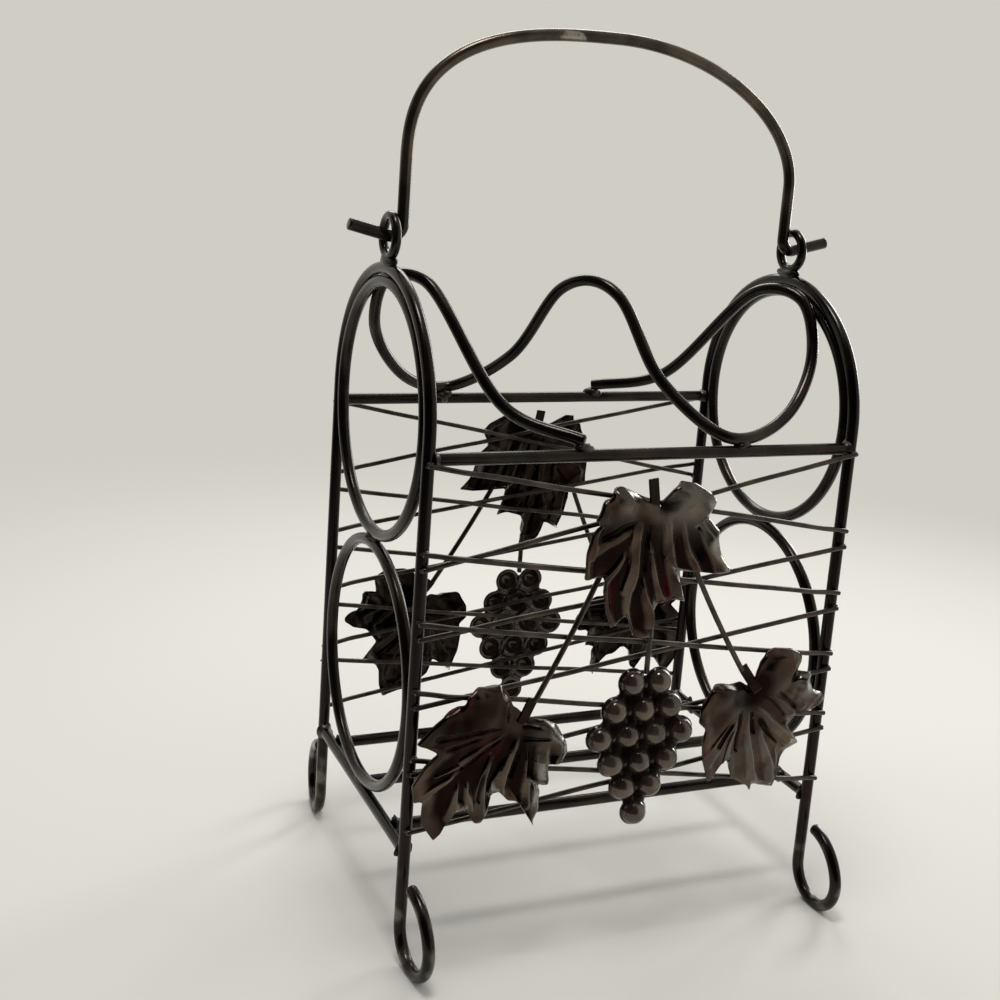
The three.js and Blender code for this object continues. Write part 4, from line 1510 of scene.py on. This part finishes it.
    def _sheet(self, form: LeafForm, grid: Array, shares: dict[str, Array]) -> Surface:
        """Closes the grid to a sheet of its thickness and lays it on the front face.

        Args:
            form: the leaf.
            grid: place across, place up and height over the back, for each ring and edge point.
            shares: the marks over the front. The back has less of each, and is darker all over.

        Returns:
            The closed surface.
        """
        x, z, height = grid
        front, back = (
            np.stack((form.x + x, -(self.back + lift + height), form.z + z), axis=-1)
            for lift in (self.sheet, 0.0)
        )
        flat = np.stack((x, z, np.zeros_like(x)), axis=-1).reshape(-1, 3)
        stock = np.concatenate((flat, flat, np.zeros((2, 3)))) + self.stock_step * form.seed
        poles = np.stack((front[0].mean(axis=0), back[0].mean(axis=0)))
        surface = Surface.sheet(front, back, poles, stock)
        for key, share in shares.items():
            least = self.thick_behind if key == "pool" else 0.0
            behind = np.maximum(least, self.share_behind * share.ravel())
            setattr(surface, key, np.concatenate((share.ravel(), behind, (0.0, least))))
        return surface


@dataclass(frozen=True)
class Grapes:
    """Pressed bunch: hollow domes in one sheet, in rows of two, three, four, three, two and one."""

    radius: float = 5.6
    height: float = 5.5
    sheet: float = 0.9
    rim: float = 6.3
    web: float = 8.1
    spacing: float = 13.2
    pitch: float = 12.0
    rows: tuple[int, ...] = (2, 3, 4, 3, 2, 1)
    back: float = ORNAMENT_BACK
    sides: int = 48
    rings: int = 15
    dome_span: Pair = (86.0, 4.0)    # degrees up the dome of its first and last ring
    jitter: float = 0.35
    jitter_seed: int = 5
    neighbour: float = 1.25          # how far off, in spacings, a dome still shares the web
    web_spread: float = 0.62         # radians either side of a neighbour that its web fills
    web_span: Pair = (0.55, 0.95)    # crowding at which the web starts and is full
    # Painted shade: wine-red down each dome's left side, away from the window light, and the dark tone at its
    # foot, where it meets the sheet.
    red: float = 0.3
    red_span: Pair = (2.0, -5.0)     # places across a dome where the red starts and is full
    thick_foot: float = 0.9
    foot_span: Pair = (0.93, 1.03)   # radii of a dome between which the painted shade at its foot sets in

    def places(self) -> Array:
        """Places of the domes, a little off the pattern, as by hand.

        Returns:
            Places across and up from the middle of the top row.
        """
        rows = [
            np.stack((
                (np.arange(count) - (count - 1) / 2.0) * self.spacing, np.full(count, -row * self.pitch),
            ), axis=1)
            for row, count in enumerate(self.rows)
        ]
        places = np.concatenate(rows)
        return places + self.jitter * np.random.default_rng(self.jitter_seed).uniform(-1.0, 1.0, places.shape)

    def dome(self, place: Array, others: Array, origin: Array) -> Surface:
        """One dome with its share of the sheet, as a profile carried round its axis.

        The profile falls down the outside of the dome, an ellipse, from the pole to the flange. The inside
        lies one sheet thickness below it. The flange reaches out as far as the web where neighbours lie close
        to that direction, and only to the rim elsewhere.

        Args:
            place: the dome's place in the bunch.
            others: places of the other domes.
            origin: the bunch's place on the face.

        Returns:
            The closed surface.
        """
        angle = full_turn(self.sides)
        offset = others - place
        near = np.linalg.norm(offset, axis=1) < self.neighbour * self.spacing
        heading = np.arctan2(offset[near, 1], offset[near, 0])
        apart = np.abs((angle[:, None] - heading + np.pi) % (2.0 * np.pi) - np.pi)
        crowd = np.exp(-(apart / self.web_spread) ** 2).sum(axis=1)
        flange = self.rim + (self.web - self.rim) * smooth(*self.web_span, crowd)

        climb = np.radians(np.linspace(*self.dome_span, self.rings))[:, None]
        rise = np.concatenate((self.height * np.sin(climb), ((0.0,),)))
        x, z = origin + place
        layers = []
        for radius, lift in ((self.radius, self.sheet), (self.radius - self.sheet, 0.0)):
            radii = np.concatenate((radius * np.cos(climb) * np.ones(self.sides), flange[None]))
            layers.append(np.stack(np.broadcast_arrays(
                x + radii * np.cos(angle), -(self.back + lift + rise), z + radii * np.sin(angle),
            ), axis=-1))
        poles = [(x, -(self.back + lift + self.height), z) for lift in (self.sheet, 0.0)]
        surface = Surface.sheet(*layers, np.array(poles))
        aside = surface.points[:, 0] - x
        from_axis = np.hypot(aside, surface.points[:, 2] - z)
        # Painted shade: wine-red down the left side, and the dark tone in the crease at the foot.
        surface.wine = self.red * smooth(*self.red_span, aside)
        low, high = (share * self.radius for share in self.foot_span)
        surface.pool = self.thick_foot * smooth(low, high, from_axis)
        return surface

    def surface(self, origin: Array) -> Surface:
        """The whole bunch on the front face.

        Args:
            origin: x and height of the middle of the top row.

        Returns:
            The surface, one closed shell for each dome.
        """
        places = self.places()
        return Surface.joined([
            self.dome(place, np.delete(places, i, axis=0), origin) for i, place in enumerate(places)
        ])


@dataclass(frozen=True)
class Vine:
    """Leaves, grapes, stalks and stems of the two long faces.

    bunch is the middle of the grapes' top row, from the middle of the face and the height of the cross-bars.
    The side stems run from a place on the top leaf to one on a side leaf. The middle stem runs from a height
    over the top leaf's base to one over the top row.
    """

    layout: Layout
    leaf: Leaf = Leaf()
    grapes: Grapes = Grapes()
    rear_shift: float = -6.0
    stalk_width: float = 4.6
    stalk_lift: float = 0.6          # of a stalk's middle off the back, in sheet thicknesses
    # How much darker the stalks are.
    stalk_thick: float = 0.8
    stalk_grid: tuple[int, int] = (24, 20)
    stem_stations: int = 41
    bunch: Pair = (2.0, 69.0)
    left_stem: tuple[Pair, Pair] = ((-24.5, -31.5), (6.0, 6.0))
    right_stem: tuple[Pair, Pair] = ((20.5, -30.5), (-5.5, 9.0))
    middle_stem: Pair = (-56.0, 4.0)
    stem_bow: float = 0.8
    stem_edge: float = 0.4

    def forms(self, shift: float) -> dict[str, LeafForm]:
        """The three leaves of a face, at the heights that the top rail and the cross-bars set.

        Args:
            shift: sideways shift of the whole set.

        Returns:
            Each leaf's form by its name.
        """
        place = self.layout
        leaves = {
            "top": (TOP_LEAF, place.top_rail), "left": (LEFT_LEAF, place.cross_bar),
            "right": (RIGHT_LEAF, place.cross_bar),
        }
        return {
            name: replace(form, x=form.x + shift, z=form.z + datum) for name, (form, datum) in leaves.items()
        }

    def stem(self, start: Array, stop: Array, bow: float) -> Surface:
        """Stem between two places of a face: a straight line with a sideways bow, sin(pi t).

        Args:
            start: x and height of the upper end.
            stop: x and height of the lower end.
            bow: sideways bow halfway.

        Returns:
            The closed surface.
        """
        t = np.linspace(0.0, 1.0, self.stem_stations)
        line = start + (stop - start) * t[:, None]
        out = np.full_like(t, self.leaf.back + STEM_RADIUS)
        path = np.stack((line[:, 0] + bow * np.sin(np.pi * t), -out, line[:, 1]), axis=1)
        return rod_surface(resampled(path), STEM_RADIUS, ALONG_Y, WIRE_SIDES, self.stem_edge)

    def stalk(self, form: LeafForm) -> Surface:
        """Flat stalk behind a leaf: a strip whose corners are rounded, |x / w|^6 + |y / h|^6 = 1 in section.

        Args:
            form: the leaf.

        Returns:
            The closed surface.
        """
        upper, lower = np.array(form.stalk)
        way = unit(lower - upper)
        rows, columns = self.stalk_grid
        angle = full_turn(columns)
        across, deep = (
            0.5 * width * np.sign(wave) * np.abs(wave) ** (1.0 / 3.0)
            for width, wave in ((self.stalk_width, np.cos(angle)), (self.leaf.sheet, np.sin(angle)))
        )
        t = np.linspace(0.0, 1.0, rows)[:, None]
        line = upper + t * (lower - upper)
        x = form.x + line[:, :1] - across * way[1]
        z = form.z + line[:, 1:] + across * way[0]
        rise = form.stalk_rise * smooth(0.0, 1.0, t)
        out = self.leaf.back + self.stalk_lift * self.leaf.sheet + deep + rise
        grid = np.stack((x, -out, z), axis=-1)
        surface = Surface.capped(grid, grid[[0, -1]].mean(axis=1))
        surface.pool = np.full(len(surface.points), self.stalk_thick)
        return surface

    def build(self) -> None:
        """Makes the ornament of both faces."""
        place = self.layout
        for face, turn in FACES.items():
            shift = self.rear_shift if face == "rear" else 0.0
            forms = self.forms(shift)
            for name, form in forms.items():
                node = f"{face}_{name}_leaf"
                leaf = Surface.joined([self.leaf.surface(form), self.stalk(form)])
                add_piece(leaf.placed(turn), f"{node}_pressed", LEAF_FINISH, node)
            top_row = np.array((shift + self.bunch[0], place.cross_bar + self.bunch[1]))
            node = f"{face}_grape_bunch"
            bunch = self.grapes.surface(top_row).placed(turn)
            add_piece(bunch, f"{node}_pressed", GRAPE_FINISH, node)
            top = forms["top"]
            stems = {
                name: (top.place(start), forms[name].place(stop), bow)
                for name, (start, stop), bow in (
                    ("left", self.left_stem, self.stem_bow), ("right", self.right_stem, -self.stem_bow),
                )
            }
            start, stop = self.middle_stem
            stems["middle"] = (np.array((top_row[0], top.z + start)), top_row + (0.0, stop), 0.0)
            for name, (start, stop, bow) in stems.items():
                node = f"{face}_{name}_stem"
                stem = self.stem(start, stop, bow).placed(turn)
                add_piece(stem, f"{node}_wire", WIRE_FINISH, node)


@dataclass(frozen=True)
class Welds:
    """Weld beads where the rods meet.

    A bead's sizes are half its length, width and height. beside and rail_side are how far a second bead lies
    from the first. The growths scale the beads at the scroll's ends and at its low bends. A lump is how
    uneven a bead is.
    """

    layout: Layout
    scroll: ScrollRod
    fillet: Pair = (1.5, 3.6)
    touch_bead: Triple = (6.5, 2.09, 1.65)
    touch_lump: float = 0.2
    beside_bead: Triple = (3.6, 1.9, 2.2)
    beside_lump: float = 0.35
    beside: Triple = (-1.5, 1.6, 0.5)
    eyelet_bead: Triple = (7.4, 3.1, 3.2)
    eyelet_lump: float = 0.15
    eyelet_lift: float = 0.4
    rail_bead: Triple = (4.6, 2.7, 2.4)
    rail_lump: float = 0.3
    rail_lift: float = 0.2
    rail_side_bead: Triple = (3.4, 2.4, 2.6)
    rail_side_lump: float = 0.35
    rail_side: Triple = (1.6, -2.0, -0.8)
    end_growth: float = 0.8
    bend_growth: Pair = (0.9, 1.15)
    wire_bead: Triple = (1.7, 0.9, 1.2)
    wire_lump: float = 0.35
    wire_out: float = 2.9
    on_leg: float = 0.75             # from a leg's middle to the foot of a fillet, in rod radii

    def end_beads(self) -> list[Surface]:
        """Beads of the left end: rings to their neighbours, the eyelet, and the rods that butt on the frame.

        Returns:
            The beads.
        """
        place = self.layout
        x, leg = -place.end_x, place.leg_y
        touches = (
            (place.lower_ring - place.ring_radius + place.cross_bar) / 2.0,
            (place.lower_ring + place.upper_ring) / 2.0,
            (place.upper_ring + place.ring_radius + place.arch_top) / 2.0,
        )
        spots = [((x, 0.0, z), self.touch_bead, 20 + i, self.touch_lump) for i, z in enumerate(touches)]
        beside = np.array((x, 0.0, touches[1])) + self.beside
        spots.append((beside, self.beside_bead, 26, self.beside_lump))
        eyelet_foot = place.arch_top + ROD_RADIUS + self.eyelet_lift
        spots.append(((x, 0.0, eyelet_foot), self.eyelet_bead, 31, self.eyelet_lump))
        beads = [bead_surface(spot, half, seed, ALONG_Y, lump=lump) for spot, half, seed, lump in spots]
        on_leg = self.on_leg * ROD_RADIUS
        butts = []
        for sign in (-1.0, 1.0):
            butts.append(((x, sign * (leg - on_leg), place.cross_bar), -sign * ALONG_Y, 40 + int(sign)))
            butts.append(((x + on_leg, sign * leg, place.top_rail), ALONG_X, 50 + int(sign)))
        for y in (-place.bottom_spread, 0.0, place.bottom_spread):
            butts.append(((x + on_leg, y, place.bottom_rail), ALONG_X, 60 + int(y)))
        fillets = [fillet_surface(foot, axis, ROD_RADIUS, self.fillet, seed) for foot, axis, seed in butts]
        return beads + fillets

    def scroll_beads(self) -> list[Surface]:
        """Beads where the scroll's ends and its two low bends lie on the top rails.

        Returns:
            The beads.
        """
        place = self.layout
        path = self.scroll.path()
        inner = path[len(path) // 8:-len(path) // 8]
        bends = [
            min(inner[np.sign(inner[:, 1]) == sign], key=lambda point: point[2]) for sign in (-1.0, 1.0)
        ]
        spots = (path[0], path[-1], *bends)
        beads = []
        for i, (spot, grow) in enumerate(zip(spots, (self.end_growth, self.end_growth, *self.bend_growth))):
            side = np.sign(spot[1])
            centre = np.array((spot[0], side * place.leg_y, place.top_rail + ROD_RADIUS + self.rail_lift))
            aside = centre + grow * np.array(self.rail_side) * (1.0, side, 1.0)
            half, side_half = (grow * np.array(size) for size in (self.rail_bead, self.rail_side_bead))
            beads.append(bead_surface(centre, half, 70 + i, lump=self.rail_lump))
            beads.append(bead_surface(aside, side_half, 80 + i, lump=self.rail_side_lump))
        return beads

    def wire_beads(self, face: str) -> list[Surface]:
        """Small beads at the ends of a face's wires, where they lie on the legs.

        Args:
            face: the face.

        Returns:
            The beads, on the front face.
        """
        beads = []
        for number in range(1, WIRE_PAIRS + 1):
            for kind in ("rising", "falling"):
                low, high = node_box(f"{face}_{kind}_wire_{number}")
                ends = (low[2] + WIRE_RADIUS, high[2] - WIRE_RADIUS)
                left, right = ends if kind == "rising" else ends[::-1]
                for sign, z in ((-1.0, left), (1.0, right)):
                    centre = (sign * self.layout.end_x, -(self.layout.leg_y + self.wire_out), z)
                    seed = 200 + 10 * number + int(sign) + 2 * (kind == "rising")
                    beads.append(bead_surface(centre, self.wire_bead, seed, lump=self.wire_lump))
        return beads

    def build(self) -> None:
        """Makes the beads of the ends, the scroll and the wires."""
        for end, turn in ENDS.items():
            beads = Surface.joined(self.end_beads()).placed(turn)
            add_piece(beads, f"{end}_end_welds", WELD_FINISH)
        add_piece(Surface.joined(self.scroll_beads()), "scroll_welds", WELD_FINISH)
        for face, turn in FACES.items():
            beads = Surface.joined(self.wire_beads(face)).placed(turn)
            add_piece(beads, f"{face}_wire_welds", WELD_FINISH)


# Studio


@dataclass(frozen=True)
class SoftLight:
    """A soft box, aimed at the middle of the rack."""

    name: str
    place: Triple
    size: Pair
    power: float


@dataclass(frozen=True)
class Studio:
    """Camera, lights, pale floor and pale surroundings."""

    camera_place: Triple = (-287.8, -548.9, 340.2)
    camera_turn: Triple = (78.094, -3.772, -21.784)
    lens: float = 49.33
    sensor: float = 36.0
    nearest: float = 10.0
    shift: Pair = (0.0327, -0.0717)
    aim: Triple = (0.0, 0.0, 180.0)
    floor_reach: float = 4000.0
    floor_fade: Pair = (240.0, 900.0)        # from the middle to where the floor starts to fade, and is gone
    floor_colour: str = "dedbd3"
    floor_rough: float = 0.75
    floor_gloss: float = 0.2
    surround: str = "d0cdc5"
    dark_side: str = "0e0d0c"
    dark_way: Triple = (-0.78, -0.55, 0.3)   # direction of the dark side that the gloss shows
    dark_edge: Pair = (0.1, 0.5)
    ambient: float = 0.38
    lights: tuple[SoftLight, ...] = (
        SoftLight("window", (1150.0, 600.0, 580.0), (340.0, 900.0), 8.0),
        SoftLight("left_fill", (-1000.0, 450.0, 600.0), (400.0, 600.0), 0.5),
        SoftLight("back_panel", (250.0, 950.0, 1000.0), (900.0, 400.0), 6.0),
        SoftLight("top_box", (-150.0, -100.0, 1500.0), (320.0, 320.0), 7.5),
    )

    def camera(self) -> None:
        """The photograph's camera: its place, turn, lens and the shift of its picture."""
        data = bpy.data.cameras.new("camera")
        data.lens = self.lens
        data.sensor_width = self.sensor
        data.shift_x, data.shift_y = self.shift
        data.clip_start = self.nearest * MM
        camera = add_object("camera", data)
        camera.location = [value * MM for value in self.camera_place]
        camera.rotation_euler = [math.radians(value) for value in self.camera_turn]
        bpy.context.scene.camera = camera

    def soft_lights(self) -> None:
        """The soft boxes."""
        for light in self.lights:
            data = bpy.data.lights.new(light.name, "AREA")
            data.shape = "RECTANGLE"
            data.size, data.size_y = (value * MM for value in light.size)
            data.energy = light.power
            lamp = add_object(light.name, data)
            away = np.array(light.place) - np.array(self.aim)
            flat = math.hypot(away[0], away[1])
            lamp.location = [value * MM for value in light.place]
            heading = math.atan2(away[1], away[0]) + math.pi / 2.0
            lamp.rotation_euler = (math.atan2(flat, away[2]), 0.0, heading)

    def floor(self) -> None:
        """Pale floor that keeps the shadow and fades into the surroundings."""
        reach = self.floor_reach * MM
        mesh = bpy.data.meshes.new("floor")
        corners = [(-reach, -reach, 0.0), (reach, -reach, 0.0), (reach, reach, 0.0), (-reach, reach, 0.0)]
        mesh.from_pydata(corners, [], [(0, 1, 2, 3)])
        floor = add_object("floor", mesh)
        # Matt pale board: nothing on it shows but a soft shadow.
        material = bpy.data.materials.new("pale_floor")
        tree = empty_tree(material)
        place = add_node(tree, "ShaderNodeTexCoord", output="Object")
        distance = add_node(tree, "ShaderNodeVectorMath", {0: place}, "Value", operation="LENGTH")
        fade = add_node(tree, "ShaderNodeMapRange", {
            "Value": distance, "From Min": self.floor_fade[0] * MM, "From Max": self.floor_fade[1] * MM,
        }, interpolation_type="SMOOTHSTEP")
        shader = add_node(tree, "ShaderNodeBsdfPrincipled", {
            "Base Color": linear(self.floor_colour), "Roughness": self.floor_rough,
            "Specular IOR Level": self.floor_gloss,
        })
        clear = add_node(tree, "ShaderNodeBsdfTransparent")
        mixed = add_node(tree, "ShaderNodeMixShader", {0: fade, 1: shader, 2: clear})
        add_node(tree, "ShaderNodeOutputMaterial", {"Surface": mixed})
        mesh.materials.append(material)

    def surroundings(self) -> None:
        """Pale all round for the camera, dark in gloss on the camera's side, and an even soft light."""
        world = bpy.data.worlds.new("surroundings")
        bpy.context.scene.world = world
        tree = empty_tree(world)
        way = add_node(tree, "ShaderNodeTexCoord", output="Generated")
        facing = add_node(tree, "ShaderNodeVectorMath", {
            0: way, 1: self.dark_way,
        }, "Value", operation="DOT_PRODUCT")
        dark = add_node(tree, "ShaderNodeMapRange", {
            "Value": facing, "From Min": self.dark_edge[0], "From Max": self.dark_edge[1],
        }, interpolation_type="SMOOTHSTEP")
        mirrored = add_node(tree, "ShaderNodeMix", {
            0: dark, 6: linear(self.surround), 7: linear(self.dark_side),
        }, 2, data_type="RGBA")
        seen, glossy, passed = (
            add_node(tree, "ShaderNodeLightPath", output=f"Is {ray} Ray")
            for ray in ("Camera", "Glossy", "Transmission")
        )
        in_gloss = add_node(tree, "ShaderNodeMath", {0: glossy, 1: passed}, operation="MAXIMUM")
        lit, shown, pale = (
            add_node(tree, "ShaderNodeBackground", {"Color": colour, "Strength": strength})
            for colour, strength in (
                (linear("ffffff"), self.ambient), (mirrored, 1.0), (linear(self.surround), 1.0),
            )
        )
        unseen = add_node(tree, "ShaderNodeMixShader", {0: in_gloss, 1: lit, 2: shown})
        mixed = add_node(tree, "ShaderNodeMixShader", {0: seen, 1: unseen, 2: pale})
        add_node(tree, "ShaderNodeOutputWorld", {"Surface": mixed})

    def build(self) -> None:
        """Sets the camera, lights, floor and surroundings."""
        bpy.context.scene.view_settings.view_transform = "Standard"
        self.camera()
        self.soft_lights()
        self.floor()
        self.surroundings()


def main() -> None:
    """Builds the studio and every sub-assembly in order."""
    logging.basicConfig(level=logging.INFO, format="%(name)s: %(message)s")
    layout = Layout.from_frame()
    scroll = ScrollRod(layout)
    Studio().build()
    EndFrame(layout).build()
    EndRings(layout).build()
    Rails(layout).build()
    scroll.build()
    BailHandle(layout).build()
    Lattice(layout).build()
    Vine(layout).build()
    Welds(layout, scroll).build()


if __name__ == "__main__":
    main()
